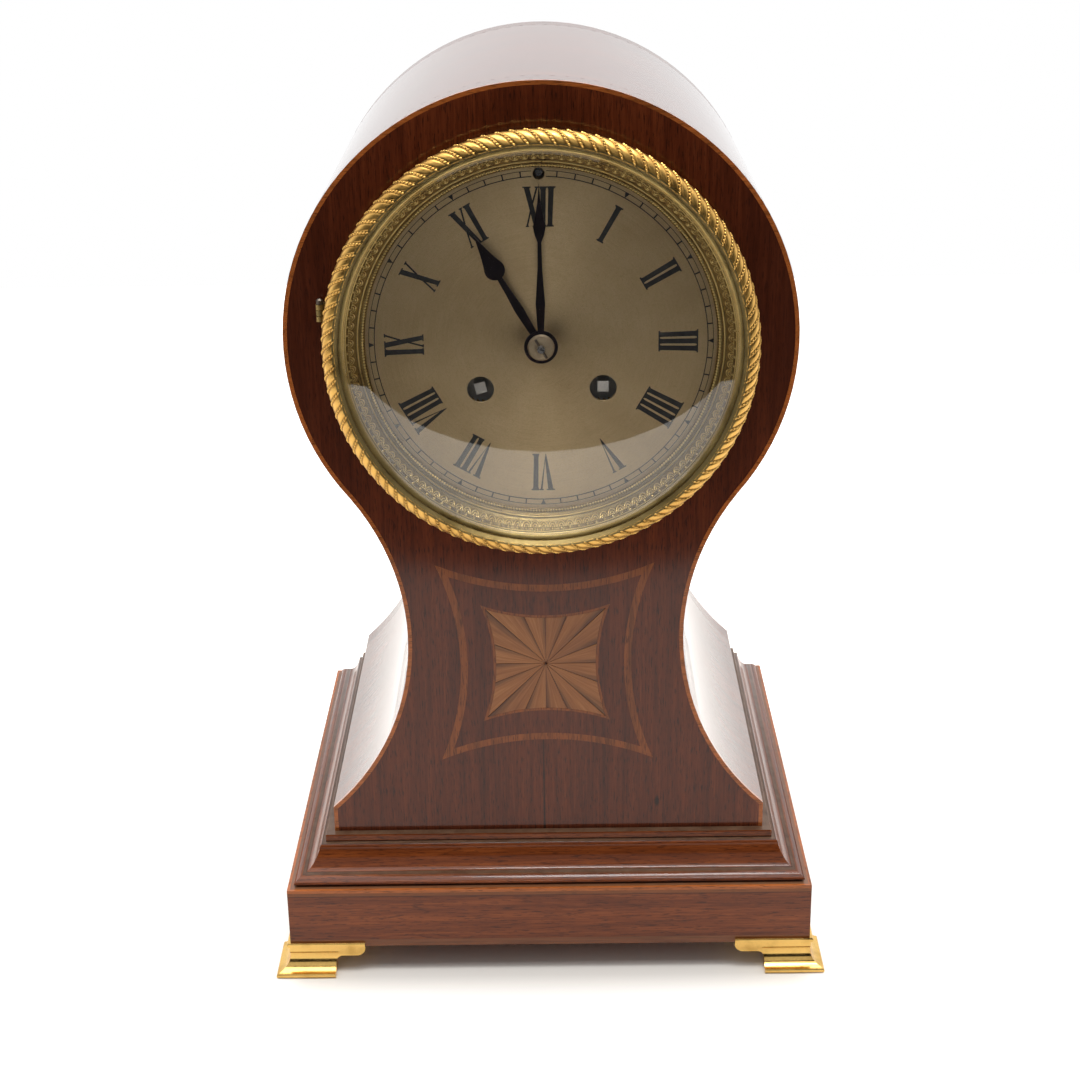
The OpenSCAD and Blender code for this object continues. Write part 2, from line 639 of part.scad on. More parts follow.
// Barrels, springs and winding arbors
drum_front = 4.5;
drum_back = 21.5;
great_t = 2.2;
barrel_r = 15.6;
barrel_wall = 1.1;
arbor_r = 3;
module barrel(p) {
    level(p, drum_back, great_t) difference() {
        wheel_2d(great_n, great_m, 0);
        circle(r = arbor_r + run);
    }
    level(p, drum_front, 1.2) difference() {
        circle(r = barrel_r);
        circle(r = arbor_r + run);
    }
    level(p, drum_front, drum_back - drum_front + eps) difference() {
        circle(r = barrel_r);
        circle(r = barrel_r - barrel_wall);
    }
}
coil_n = 5;
coil_in = 4.4;
coil_step = 1.8;
coil_t = 0.9;
// Coiled spring with a hooked end riveted to the barrel wall
module mainspring(p) level(p, drum_front + 2, drum_back - drum_front - 3) {
    polygon([for (a = [0:15:coil_n*360]) (coil_in + coil_step*a/360)*[cos(a), sin(a)],
        [barrel_r - barrel_wall, 0], [barrel_r - barrel_wall, -1.6],
        for (a = [coil_n*360 - 15:-15:0]) (coil_in + coil_t + coil_step*a/360)*[cos(a), sin(a)]]);
}
ratchet_n = 24;
ratchet_r = 7.2;
square_w = 3.6;
square_l = 9.2;
module winding_arbor(p, turn) {
    level(p, 0.4, plate_gap - 0.8) circle(r = arbor_r);
    level(p, -plate_t - 0.6, plate_gap + 2*plate_t + 0.4) circle(r = 2.6);
    at(p, plate_front + 0.6) linear_extrude(1.8) polygon([for (i = [0:ratchet_n-1]) each
        [ratchet_r*[cos(i*360/ratchet_n), sin(i*360/ratchet_n)],
         (ratchet_r - 1)*[cos(i*360/ratchet_n + 1.5), sin(i*360/ratchet_n + 1.5)]]]);
    at(p, plate_front + 0.4) rotate(turn) translate([-square_w/2, -square_w/2, 0])
        cube([square_w, square_w, square_l]);
}
module going_barrel() color("#caa24a") { barrel(going_p); }
module strike_barrel() color("#caa24a") { barrel(strike_p); }
module going_spring() color("#5a6270") { mainspring(going_p); }
module strike_spring() color("#5a6270") { mainspring(strike_p); }
module going_arbor() color("#9a9a98") { winding_arbor(going_p, 0); }
module strike_arbor() color("#9a9a98") { winding_arbor(strike_p, 14); }
click_d = ratchet_r + 2.5;
module clicks() color("#8c9098") for (s = [-1, 1]) {
    at([s*wind_x, -wind_drop], plate_front + 0.6) rotate(s > 0 ? -20 : 200) translate([click_d, 0]) {
        linear_extrude(1.8)
            polygon([[-1.6, -1], [-2.25, 2.4], [-1.4, 3.4], [1.2, 2.6], [1.6, -1.8], [0, -2.6]]);
        translate([0, 0, -0.6]) cylinder(r = 1, h = 3.4);
    }
}

// Going train
module train(p, r, s, n, m, sp, np, mp, turn, ph = 3, wh = 1.1) {
    arbor(p, r);
    level(p, s, wh) crossed(n, m, turn);
    level(p, sp, ph) pinion_2d(np, mp, turn);
}
module second_wheel() color("#d0a94e") {
    train(second_p, 1, 1.4, second_n, second_m, 20.9, second_pin_n, great_m, second_a, 3.4);
}
module centre_wheel() color("#d0a94e") {
    train(centre_p, 1.2, 26.4, centre_n, centre_m, 0.8, centre_pin_n, second_m, centre_a, 2.4);
    difference() {
        at(centre_p, plate_front - plate_t) cylinder(r = 1.2, h = -plate_front + plate_t + 7.8);
        hand_pin();
    }
}
module third_wheel() color("#d0a94e") {
    train(third_p, 0.7, 18, third_n, third_m, 25.5, third_pin_n, centre_m, third_a);
}
module escape_2d(turn) difference() {
    polygon([for (i = [0:escape_n-1]) each [for (q = [[escape_r - 1.7, 0.6], [escape_r, 2.2], [escape_r, 3],
        [escape_r - 1.7, 6.4]])
        q[0]*[cos(i*360/escape_n + q[1] + turn), sin(i*360/escape_n + q[1] + turn)]]]);
    difference() {
        circle(r = escape_r - 2.9);
        circle(r = 2);
        for (a = [0, 90]) rotate(a + turn) square([2*escape_r, 1.1], center = true);
    }
}
module escape_wheel() color("#d0a94e") {
    arbor(escape_p, 0.62);
    level(escape_p, 23, 1) escape_2d(escape_a);
    level(escape_p, 17.2, 2.8) pinion_2d(escape_pin_n, third_m, escape_a);
}
// Anchor with crutch, drawn clear of the tooth tips
anchor_span = 42;
anchor_clear = 0.9;
cock_t = back_face - 9;
crutch_t = back_face - 3;
crutch_l = 40;
module pallets() color("#8c9098") {
    level(pallet_p, 0.4, plate_gap - 0.8) circle(r = 1);
    level(pallet_p, -plate_t + 0.2, plate_gap + plate_t + 11) circle(r = pivot_r);
    level(escape_p, 22.8, 1.4) intersection() {
        difference() {
            circle(r = escape_r + anchor_clear + 2.2);
            circle(r = escape_r + anchor_clear);
        }
        polygon([[0, 0], 30*[sin(anchor_span), cos(anchor_span)], [0, 40],
            30*[-sin(anchor_span), cos(anchor_span)]]);
    }
    level(pallet_p, 22.8, 1.4) translate([-1.2, -2]) square([2.4, 3.2]);
    at(pallet_p, crutch_t - 1) linear_extrude(1.2) {
        circle(r = 1.8);
        translate([-0.8, -crutch_l]) square([1.6, crutch_l]);
    }
    at(pallet_p, rod_t - 2) translate([0, -crutch_l]) for (s = [-1, 1])
        translate([s*2.1 - 0.5, 0, 0]) cube([1, 1.6, crutch_t - rod_t + 2.2]);
    at(pallet_p, crutch_t - 1) translate([-2.6, -crutch_l, 0]) cube([5.2, 1.6, 1.2]);
}
// Cock behind the back plate carrying the pallet pivot and the suspension
rod_t = cock_t - 3.2;
chop_z = 1.6;
module back_cock() color("#c9a045") difference() {
    union() {
        for (s = [-1, 1]) at([s*13, pallet_p[1]], cock_t) linear_extrude(back_face - cock_t)
            square([5, 7], center = true);
        at(pallet_p, cock_t) linear_extrude(2.4) {
            square([31, 7], center = true);
            translate([-4, 0]) square([8, regulator_rise - pallet_p[1] + 4]);
        }
        at(pallet_p, cock_t - 6) translate([-4, chop_z, 0]) cube([8, 9, 6 + eps]);
    }
    at(pallet_p, cock_t - 1) cylinder(r = pivot_r + run, h = 5);
    at([0, regulator_rise], cock_t - 1) cylinder(r = 1.2 + run, h = 5);
    at(pallet_p, cock_t - 7) translate([-0.5, 0, 0]) cube([1, 6, 7]);
}
module pendulum_rod() color("#b9a878") {
    at(pallet_p, rod_t - 2) translate([-0.1, -9, 0]) cube([0.2, 11, 4]);
    at(pallet_p, rod_t - 2.4) translate([-1.6, -13, 0]) cube([3.2, 5, 4.8]);
    at(pallet_p, rod_t) rotate([90, 0, 0]) translate([0, 0, 12]) cylinder(r = 1.1, h = pendulum_l + 14);
}
module pendulum_bob() color("#d2a544") at(pallet_p, rod_t) difference() {
    translate([0, -pendulum_l, 0]) rotate_extrude($fn = 96) polygon([[0, -5], [bob_r*0.53, -4],
        [bob_r*0.82, -2.4], [bob_r, -0.6], [bob_r, 0.6], [bob_r*0.82, 2.4], [bob_r*0.53, 4], [0, 5]]);
    rotate([90, 0, 0]) translate([0, 0, 12]) cylinder(r = 1.1, h = pendulum_l + 40);
}
module rating_nut() color("#c9a045") at(pallet_p, rod_t) rotate([90, 0, 0])
    translate([0, 0, pendulum_l + bob_r]) tube(3, 1.1, 3.2);
key_w = 1.7;
key_l = 2.4;
key_back = -4;
module regulating_arbor() color("#8c9098") {
    at([0, regulator_rise], cock_t - 1) cylinder(r = 1.2, h = key_back + 1 - cock_t);
    at([0, regulator_rise], key_back - eps) translate([-key_w/2, -key_w/2, 0]) cube([key_w, key_w, key_l]);
    at([0, regulator_rise], cock_t - 2.4) cylinder(r = 2.4, h = 1.8);
}

// Striking train, hammer and bell
module strike_second() color("#d0a94e") {
    train(strike2_p, 1, 1.4, strike2_n, second_m, 20.9, second_pin_n, great_m, strike2_a, 3.4);
}
pin_n = 10;
pin_ring = 6.4;
module pin_wheel() color("#d0a94e") {
    train(pinw_p, 0.8, 9, pinw_n, pinw_m, 0.8, pinw_pin_n, second_m, pinw_a, 2.4);
    for (i = [0:pin_n-1]) level(polar(pinw_p, pin_ring, i*360/pin_n), 10, 3.6) circle(r = 0.5);
}
module lock_wheel() color("#d0a94e") {
    train(lock_p, 0.7, 5.4, lock_n, lock_m, 8.2, lock_pin_n, pinw_m, lock_a);
}
module warn_wheel() color("#d0a94e") {
    train(warn_p, 0.65, 14.6, warn_n, warn_m, 4.6, warn_pin_n, lock_m, warn_a);
}
module fly() color("#b9a878") {
    arbor(fly_p, 0.62);
    level(fly_p, 13.8, 2.6) pinion_2d(fly_pin_n, warn_m, fly_a);
    level(fly_p, 18, 9) square([9.2, 0.7], center = true);
    level(fly_p, 18, 9) circle(r = 1.2);
}
hammer_t = back_face - 12;
striker_r = 3;
module hammer() color("#8c9098") {
    arbor(hammer_p, 0.9);
    level(hammer_p, plate_gap + plate_t - 0.4, 14) circle(r = pivot_r);
    level(hammer_p, 11, 1.6) rotate(bearing(hammer_p, pinw_p)) translate([0, -0.8]) square([6, 1.6]);
    at(hammer_p, hammer_t) linear_extrude(1.6) {
        circle(r = 2.2);
        polygon([[-1, 0], [1, 0], head_p - hammer_p + [1, 2], head_p - hammer_p + [-1, 2]]);
    }
    at(head_p, hammer_t - 12) cylinder(r = striker_r, h = 16);
}
bell_t = 1.6;
bell_front = back_face - 17;
stand_p = [9, -16];
bell_p = [0, -6];
bell_flat = 0.3;
head_p = bell_p - [bell_r + striker_r + 0.6, 0];
module bell() color("#c8b068") at(bell_p, bell_front) difference() {
    intersection() {
        sphere(r = bell_r, $fn = 144);
        translate([0, 0, bell_flat - bell_r]) cylinder(r = bell_r + 1, h = bell_r - bell_flat);
    }
    sphere(r = bell_r - bell_t, $fn = 144);
    translate([0, 0, -bell_r - 1]) cylinder(r = 1.6, h = bell_r);
}
module bell_stand() color("#8c9098") {
    at(stand_p, bell_front - 22) cylinder(r = 1.6, h = back_face - bell_front + 22 + plate_t);
    at([0, 0], bell_front - 22) linear_extrude(2.4) polygon([stand_p + [1.6, -1], stand_p + [1, 1.8],
        bell_p + [1.8, 1.8], bell_p + [-1.8, 0], bell_p + [-1, -1.8], stand_p + [-1, -1.6]]);
    at(bell_p, bell_front - bell_r - 3.4) cylinder(r = 1.6, h = bell_r - 22 + 3.4 + 1);
    at(bell_p, bell_front - sqrt(pow(bell_r - bell_t, 2) - 9)) cylinder(r = 3, h = 4);
    at(bell_p, bell_front - bell_r + bell_flat - 2.8) cylinder(r = 3.4, h = 2.8);
}

// Motion work and hands
module cannon_pinion() color("#b9a878") {
    at(centre_p, plate_front + 2) linear_extrude(3) difference() {
        pinion_2d(cannon_n, motion_m, 0);
        circle(r = 1.2 + run);
    }
    at(centre_p, plate_front + 2) tube(1.85, 1.2 + run, 14.9);
}
module minute_wheel() color("#d0a94e") {
    at(minwheel_p, plate_front + 2.6) linear_extrude(1) difference() {
        crossed(minute_n, motion_m, minwheel_a);
        circle(r = 0.8 + run);
    }
    at(minwheel_p, plate_front + 2.6) linear_extrude(5.8) difference() {
        pinion_2d(minpin_n, hour_m, minwheel_a);
        circle(r = 0.8 + run);
    }
}
module hour_wheel() color("#d0a94e") {
    at(centre_p, plate_front + 6.6) linear_extrude(1.1) difference() {
        crossed(hour_n, hour_m, hour_a);
        circle(r = 1.85 + run);
    }
    at(centre_p, plate_front + 6.6) tube(2.9, 1.85 + run, 8.4);
}
module hand_hole(r) difference() {
    children();
    circle(r = r);
}
// Blade with both sides alike: pts runs up its right side, ends in a point where tip is given
module blade(pts, tip = [])
    polygon(concat(pts, tip, [for (i = [len(pts)-1:-1:0]) [-pts[i][0], pts[i][1]]]));
spade_r = 3.25;
module hour_hand() color("#1b2130") at(centre_p, 2) linear_extrude(0.7) rotate(30) hand_hole(2.9) union() {
    circle(r = 4.3);
    blade([[1.05, 3], [1.45, hour_l*0.33], [1, hour_l*0.5], [0.8, hour_l*0.65]]);
    translate([0, hour_l*0.695]) circle(r = spade_r);
    blade([[spade_r - 0.15, hour_l*0.72], [2.2, hour_l*0.78], [1.4, hour_l*0.85], [0.75, hour_l*0.92]],
        [[0, hour_l]]);
}
module minute_hand() color("#1b2130") at(centre_p, 4.2) linear_extrude(0.7) hand_hole(1.85) union() {
    circle(r = 5.4);
    blade([[0.95, 4], [1.5, minute_l*0.27], [0.75, minute_l*0.48], [0.6, minute_l*0.66]]);
    blade([[0.55, minute_l*0.64], [1.5, minute_l*0.69], [1.95, minute_l*0.735], [1.3, minute_l*0.8],
        [0.5, minute_l*0.88]], [[0, minute_l]]);
}
module hand_collet() color("#c9c2a6") turned()
    polygon([[1.2, 4.9], [4.3, 4.9], [4.3, 5.3], [3.8, 5.8], [2, 6.3], [1.2, 6.3]]);
module hand_pin() color("#a8a49a") at(centre_p, 6.75) rotate(-60) rotate([0, 90, 0])
    cylinder(r = 0.42, h = 7, center = true);

front_panel();
back_panel();
side_band();
stringing();
inlay_lines();
inlay_fan();
base_moulding();
plinth();
foot_front_left();
foot_front_right();
foot_back_left();
foot_back_right();
foot_screws();
dial_ring();
dial();
bezel();
bezel_rope();
sight_ring();
bezel_glass();
hinge_pins();
rear_ring();
rear_door();
straps();
strap_screws();
front_plate();
back_plate();
pillars();
going_barrel();
going_spring();
going_arbor();
strike_barrel();
strike_spring();
strike_arbor();
clicks();
second_wheel();
centre_wheel();
third_wheel();
escape_wheel();
pallets();
back_cock();
pendulum_rod();
pendulum_bob();
rating_nut();
regulating_arbor();
strike_second();
pin_wheel();
lock_wheel();
warn_wheel();
fly();
hammer();
bell();
bell_stand();
cannon_pinion();
minute_wheel();
hour_wheel();
hour_hand();
minute_hand();
hand_collet();
hand_pin();
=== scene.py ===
import json
import math

import bmesh
import bpy
import numpy as np
from mathutils import Matrix, Vector


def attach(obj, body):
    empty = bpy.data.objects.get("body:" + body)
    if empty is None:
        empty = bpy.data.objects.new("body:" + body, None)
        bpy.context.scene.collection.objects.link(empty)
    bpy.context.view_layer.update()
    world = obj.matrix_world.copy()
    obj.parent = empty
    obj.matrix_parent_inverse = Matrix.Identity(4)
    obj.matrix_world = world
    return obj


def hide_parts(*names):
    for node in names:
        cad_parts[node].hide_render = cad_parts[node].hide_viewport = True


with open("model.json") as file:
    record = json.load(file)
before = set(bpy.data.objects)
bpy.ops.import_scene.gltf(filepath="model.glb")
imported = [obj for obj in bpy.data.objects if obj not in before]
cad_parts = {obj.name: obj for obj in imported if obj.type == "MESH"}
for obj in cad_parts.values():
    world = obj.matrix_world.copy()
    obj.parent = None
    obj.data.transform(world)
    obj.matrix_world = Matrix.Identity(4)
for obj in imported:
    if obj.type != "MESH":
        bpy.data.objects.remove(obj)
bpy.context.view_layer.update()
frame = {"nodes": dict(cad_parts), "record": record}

nodes = frame["nodes"]

# Sizes of the clock that the pieces made here sit on, in millimetres: the height of the dial's centre, the
# front of the case, the dial's face measured forwards from that front, and the plinth
MM = 0.001
DRUM_Z = 226.8
FRONT_Y = -73.0
DIAL_T = -0.5
PLINTH_W, PLINTH_D, PLINTH_TOP = 184.4, 178.1, 33.2


def dial_point(x, z, t):
    """A point given from the dial centre, t millimetres in front of the case front, in metres."""
    return (x * MM, (FRONT_Y - t) * MM, (DRUM_Z + z) * MM)


def clock_point(r, a, t):
    """A point at radius r and clockwise angle a from twelve, as seen from the front."""
    return dial_point(r * math.sin(a), r * math.cos(a), t)


# Node helpers


class Nodes:
    """Short calls for the nodes of one node tree."""

    def __init__(self, tree):
        self.tree = tree
        self._place = None

    def new(self, kind, **props):
        n = self.tree.nodes.new(kind)
        for key, value in props.items():
            setattr(n, key, value)
        return n

    def put(self, socket, value):
        """Links a socket to another one or sets its value."""
        if isinstance(value, bpy.types.NodeSocket):
            self.tree.links.new(value, socket)
        elif value is not None:
            socket.default_value = value

    @property
    def place(self):
        """The place on the object, in metres."""
        if self._place is None:
            self._place = self.new("ShaderNodeTexCoord").outputs["Object"]
        return self._place

    def xyz(self, vector=None):
        n = self.new("ShaderNodeSeparateXYZ")
        self.put(n.inputs[0], vector or self.place)
        return n.outputs[0], n.outputs[1], n.outputs[2]

    def join(self, x, y, z):
        n = self.new("ShaderNodeCombineXYZ")
        for i, v in enumerate((x, y, z)):
            self.put(n.inputs[i], v)
        return n.outputs[0]

    def stretch(self, vector, scale, at=(0, 0, 0)):
        n = self.new("ShaderNodeMapping")
        self.put(n.inputs["Vector"], vector)
        n.inputs["Scale"].default_value = scale
        n.inputs["Location"].default_value = at
        return n.outputs[0]

    def noise(self, vector, scale=1.0, detail=3.0, rough=0.55, distort=0.0):
        n = self.new("ShaderNodeTexNoise")
        self.put(n.inputs["Vector"], vector)
        n.inputs["Scale"].default_value = scale
        n.inputs["Detail"].default_value = detail
        n.inputs["Roughness"].default_value = rough
        n.inputs["Distortion"].default_value = distort
        return n.outputs["Fac"]

    def cells(self, vector, scale):
        n = self.new("ShaderNodeTexVoronoi")
        self.put(n.inputs["Vector"], vector)
        n.inputs["Scale"].default_value = scale
        return n.outputs["Distance"]

    def math(self, op, a, b=None, c=None, clamp=False):
        n = self.new("ShaderNodeMath", operation=op, use_clamp=clamp)
        for i, v in enumerate((a, b, c)):
            self.put(n.inputs[i], v)
        return n.outputs[0]

    def times(self, a, b):
        return self.math("MULTIPLY", a, b)

    def blend(self, a, b, share):
        """share of a, and the rest of b."""
        return self.math("ADD", self.times(a, share), self.times(b, 1 - share))

    def length(self, a, b):
        """The length of the step a across and b up."""
        return self.math("SQRT", self.math("ADD", self.times(a, a), self.times(b, b)))

    def span(self, value, low, high, to_low=0.0, to_high=1.0):
        n = self.new("ShaderNodeMapRange")
        self.put(n.inputs["Value"], value)
        for key, v in (("From Min", low), ("From Max", high), ("To Min", to_low), ("To Max", to_high)):
            self.put(n.inputs[key], v)
        return n.outputs[0]

    def ramp(self, fac, *stops):
        n = self.new("ShaderNodeValToRGB")
        self.put(n.inputs["Fac"], fac)
        e = n.color_ramp.elements
        while len(e) < len(stops):
            e.new(0.5)
        for item, (where, colour) in zip(e, stops):
            item.position = where
            item.color = (*colour, 1)
        return n.outputs["Color"]

    def mix(self, fac, a, b, blend="MIX"):
        n = self.new("ShaderNodeMix", data_type="RGBA", blend_type=blend)
        self.put(n.inputs[0], fac)
        self.put(n.inputs[6], (*a, 1) if isinstance(a, tuple) else a)
        self.put(n.inputs[7], (*b, 1) if isinstance(b, tuple) else b)
        return n.outputs[2]

    def choose(self, fac, a, b):
        n = self.new("ShaderNodeMix", data_type="VECTOR")
        self.put(n.inputs[0], fac)
        self.put(n.inputs[4], a)
        self.put(n.inputs[5], b)
        return n.outputs[1]


class Shader(Nodes):
    """A material and the texture nodes behind its Principled shader."""

    def __init__(self, name, **sockets):
        self.mat = bpy.data.materials.new(name)
        self.mat.use_nodes = True
        super().__init__(self.mat.node_tree)
        self.bsdf = self.tree.nodes["Principled BSDF"]
        for key, value in sockets.items():
            self.set(key.replace("_", " "), value)

    def set(self, key, value):
        self.put(self.bsdf.inputs[key], value)

    def bump(self, height, strength, distance):
        n = self.new("ShaderNodeBump")
        n.inputs["Strength"].default_value = strength
        n.inputs["Distance"].default_value = distance
        self.put(n.inputs["Height"], height)
        self.set("Normal", n.outputs["Normal"])


def srgb(r, g, b):
    """A colour written as 0 to 255 screen values, as the linear values that shaders take."""
    return tuple((v / 255 / 12.92) if v <= 10 else ((v / 255 + 0.055) / 1.055) ** 2.4 for v in (r, g, b))


def scaled(k, colour):
    return tuple(k * v for v in colour)


# Wood

MAHOGANY_DARK = (0.066, 0.0112, 0.0024)
MAHOGANY = (0.118, 0.0212, 0.0046)
MAHOGANY_PALE = (0.195, 0.04, 0.0095)
POLISH_IOR = 1.41
WOOD_SPECULAR = 0.1
WOOD_ROUGH = (0.34, 0.5)
# Slope of the mitres at the plinth's corners
MITRE = PLINTH_W / PLINTH_D
# Radius at which the grain runs round the drum
ROUND_R = 83.0 * MM
# The front's two veneers meet left of the middle, in a dark seam that shows at the foot of the front
SEAM_OFF, SEAM_HALF, SEAM_TOP = 1.3 * MM, 0.28 * MM, 83.5 * MM
# Painted shade: the front's colour darkens towards the sides of the drum, from where to where, across and up
SHADE_ACROSS, SHADE_UP = (40.0 * MM, 82.0 * MM), (120.0 * MM, 200.0 * MM)
# The crossbanding under the plinth's top line, and the dark line below it, in millimetres
BAND_LOW, BAND_LINE = 2.5, 0.3
# The boxwood below this height is the broad line along the foot of the plinth
FOOT_LINE_TOP = 20.0 * MM


def grain_place(s, run):
    """Coordinates whose x lies along the grain; run is the way that the grain goes on the piece."""
    x, y, z = s.xyz()
    if run == "up":
        return s.join(z, x, y)
    if run == "book":
        return s.join(z, s.math("ABSOLUTE", s.math("ADD", x, SEAM_OFF)), y)
    if run == "round":
        a = s.math("ARCTAN2", x, s.math("SUBTRACT", z, DRUM_Z * MM))
        return s.join(s.times(a, ROUND_R), y, s.times(z, 0.15))
    side = s.math("GREATER_THAN", s.math("ABSOLUTE", x), s.times(s.math("ABSOLUTE", y), MITRE))
    return s.choose(side, s.join(x, z, y), s.join(y, z, x))


def wood(name, run, dark, mid, pale, shift=(0, 0, 0), gloss=0.08, figure=0.5, coat=1.0):
    """Polished wood in three tones: its shader, colour, pores and fibres.

    shift sets the grain apart from that of other pieces, figure is the share of the broad figure in the tone,
    and gloss is the roughness of the polish."""
    s = Shader(name, Coat_Weight=coat, Coat_Roughness=gloss, Coat_IOR=POLISH_IOR,
               Specular_IOR_Level=WOOD_SPECULAR)
    p = grain_place(s, run)
    broad = s.noise(s.stretch(p, (5, 70, 70), shift), 1, 3, 0.5, 0.6)
    ribbon = s.noise(s.stretch(p, (14, 260, 260), shift), 1, 4, 0.6, 0.3)
    fibre = s.noise(s.stretch(p, (60, 1500, 1500), shift), 1, 3, 0.6)
    tone = s.math("ADD", s.blend(broad, ribbon, figure), s.times(s.math("SUBTRACT", fibre, 0.5), 0.6))
    colour = s.ramp(tone, (0.3, dark), (0.5, mid), (0.72, pale))
    pores = s.noise(s.stretch(p, (260, 2600, 2600), shift), 1, 2, 0.5)
    pore = s.span(pores, 0.56, 0.66)
    colour = s.mix(s.times(pore, 0.65), colour, scaled(0.2, dark))
    s.set("Roughness", s.span(fibre, 0.3, 0.7, *WOOD_ROUGH))
    return s, colour, pore, fibre


def finish_wood(s, colour, pore, fibre, depth=0.06 * MM):
    """Sets the colour and sinks the pores by up to about depth."""
    s.set("Base Color", colour)
    s.bump(s.math("SUBTRACT", s.times(fibre, 0.25), pore), 0.22, depth)
    return s.mat


def front_wood():
    """Matched veneers with painted shade towards the sides of the drum, a seam and a few dents."""
    s, colour, pore, fibre = wood("front_mahogany", "book", MAHOGANY_DARK, MAHOGANY, MAHOGANY_PALE, gloss=0.1)
    x, _, z = s.xyz()
    off = s.math("ABSOLUTE", s.math("ADD", x, SEAM_OFF))
    # Painted shade: the colour is darkened towards the sides of the drum
    side = s.times(s.span(off, *SHADE_ACROSS), s.span(z, *SHADE_UP))
    colour = s.mix(s.times(side, 0.75), colour, scaled(0.6, MAHOGANY_DARK))
    seam = s.times(s.math("LESS_THAN", off, SEAM_HALF), s.math("LESS_THAN", z, SEAM_TOP))
    colour = s.mix(s.times(seam, 0.75), colour, (0.006, 0.002, 0.001))
    dents = s.cells(s.stretch(s.place, (38, 38, 17), (0.3, 0, 0.37)), 1)
    dent = s.span(dents, 0.045, 0.02)
    colour = s.mix(s.times(dent, 0.8), colour, (0.004, 0.002, 0.001))
    return finish_wood(s, colour, pore, fibre)


def plain_wood(name, run, scale=(1.0, 1.0, 1.0), dust_and_sheen=0.0, banded=False, shade_lines=(), **more):
    """Mahogany for the plain pieces, scale times the front's tones.

    dust_and_sheen is how much grey film lies on faces that look up, partly dust and partly painted sheen.
    banded puts the crossbanding under the plinth's top line.
    shade_lines lists the dark lines of painted shade in the corners: (height over the plinth, half width), in
    millimetres."""
    tones = [tuple(k * v for k, v in zip(scale, c)) for c in (MAHOGANY_DARK, MAHOGANY, MAHOGANY_PALE)]
    s, colour, pore, fibre = wood(name, run, *tones, **more)
    height = s.xyz()[2]
    if banded:
        below = s.math("SUBTRACT", PLINTH_TOP * MM, height)
        band = s.math("LESS_THAN", below, BAND_LOW * MM)
        line = s.math("SUBTRACT", s.math("LESS_THAN", below, (BAND_LOW + BAND_LINE) * MM), band)
        colour = s.mix(s.times(band, 0.4), colour, srgb(150, 92, 48))
        colour = s.mix(s.times(line, 0.6), colour, srgb(38, 18, 10))
    # Painted shade: near-black lines at the given heights, in the corners where shade falls
    for over, half in shade_lines:
        line = s.math("COMPARE", height, (PLINTH_TOP + over) * MM, half * MM)
        colour = s.mix(s.times(line, 0.75), colour, (0.012, 0.005, 0.003))
    if dust_and_sheen:
        # A grey film on faces that look up: partly dust, partly a painted sheen of the light from above
        normal = s.new("ShaderNodeNewGeometry").outputs["Normal"]
        flat = s.span(s.xyz(normal)[2], 0.94, 0.99)
        patchy = s.span(s.noise(s.place, 160, 4, 0.65), 0.3, 0.7, 0.4 * dust_and_sheen, dust_and_sheen)
        colour = s.mix(s.times(flat, patchy), colour, srgb(128, 100, 78))
    return finish_wood(s, colour, pore, fibre)


def boxwood(name, run, mid, band=None):
    """Boxwood; band is the darker tone of the broad line along the foot of the plinth."""
    s, colour, pore, fibre = wood(name, run, scaled(0.55, mid), mid, scaled(1.25, mid), gloss=0.1, figure=0.3)
    if band:
        low = s.math("LESS_THAN", s.xyz()[2], FOOT_LINE_TOP)
        colour = s.mix(low, colour, s.mix(1.0, band, s.span(fibre, 0.3, 0.7, 0.7, 1.3), "MULTIPLY"))
    return finish_wood(s, colour, pore, fibre, depth=0.03 * MM)


# Height of the fan's centre
FAN_Z = (DRUM_Z - 113.9) * MM
FAN_RAYS = 16


def fan_wood():
    """Boxwood rays, each scorched along one side as if dipped in hot sand, with its grain along the ray."""
    s = Shader("fan_boxwood", Coat_Weight=1.0, Coat_Roughness=0.1, Coat_IOR=POLISH_IOR,
               Specular_IOR_Level=WOOD_SPECULAR)
    x, _, z = s.xyz()
    up = s.math("SUBTRACT", z, FAN_Z)
    turn = s.times(s.math("ARCTAN2", up, x), FAN_RAYS / (2 * math.pi))
    ray = s.math("FLOOR", turn)
    part = s.math("FRACT", turn)
    reach = s.length(x, up)
    grain = s.noise(s.join(s.times(reach, 80), s.times(turn, 9), s.times(ray, 3.7)), 1, 4, 0.6)
    own = s.noise(s.join(s.times(ray, 5.3), 0.5, 0.5), 1, 1)
    tone = s.blend(grain, own, 0.6)
    colour = s.ramp(tone, (0.3, srgb(124, 70, 34)), (0.52, srgb(156, 96, 50)), (0.75, srgb(184, 122, 70)))
    ragged = s.math("ADD", part, s.times(s.math("SUBTRACT", grain, 0.5), 0.12))
    edge = s.math("POWER", s.span(ragged, 0.5, 0.02), 2.2, clamp=True)
    scorch = s.times(edge, s.span(reach, 0.003, 0.02, 0.35, 0.8))
    colour = s.mix(scorch, colour, srgb(58, 30, 18))
    s.set("Base Color", colour)
    s.set("Roughness", s.span(grain, 0.3, 0.7, *WOOD_ROUGH))
    s.bump(grain, 0.15, 0.04 * MM)
    return s.mat


# Metal, glass and dial

STEEL = (0.52, 0.52, 0.53)
BRASS = (0.88, 0.56, 0.17)
GILT = (0.95, 0.66, 0.27)
OLD_BRASS = (0.72, 0.52, 0.24)
WHEEL_BRASS = (0.8, 0.58, 0.26)
METAL_WEAR = 0.12


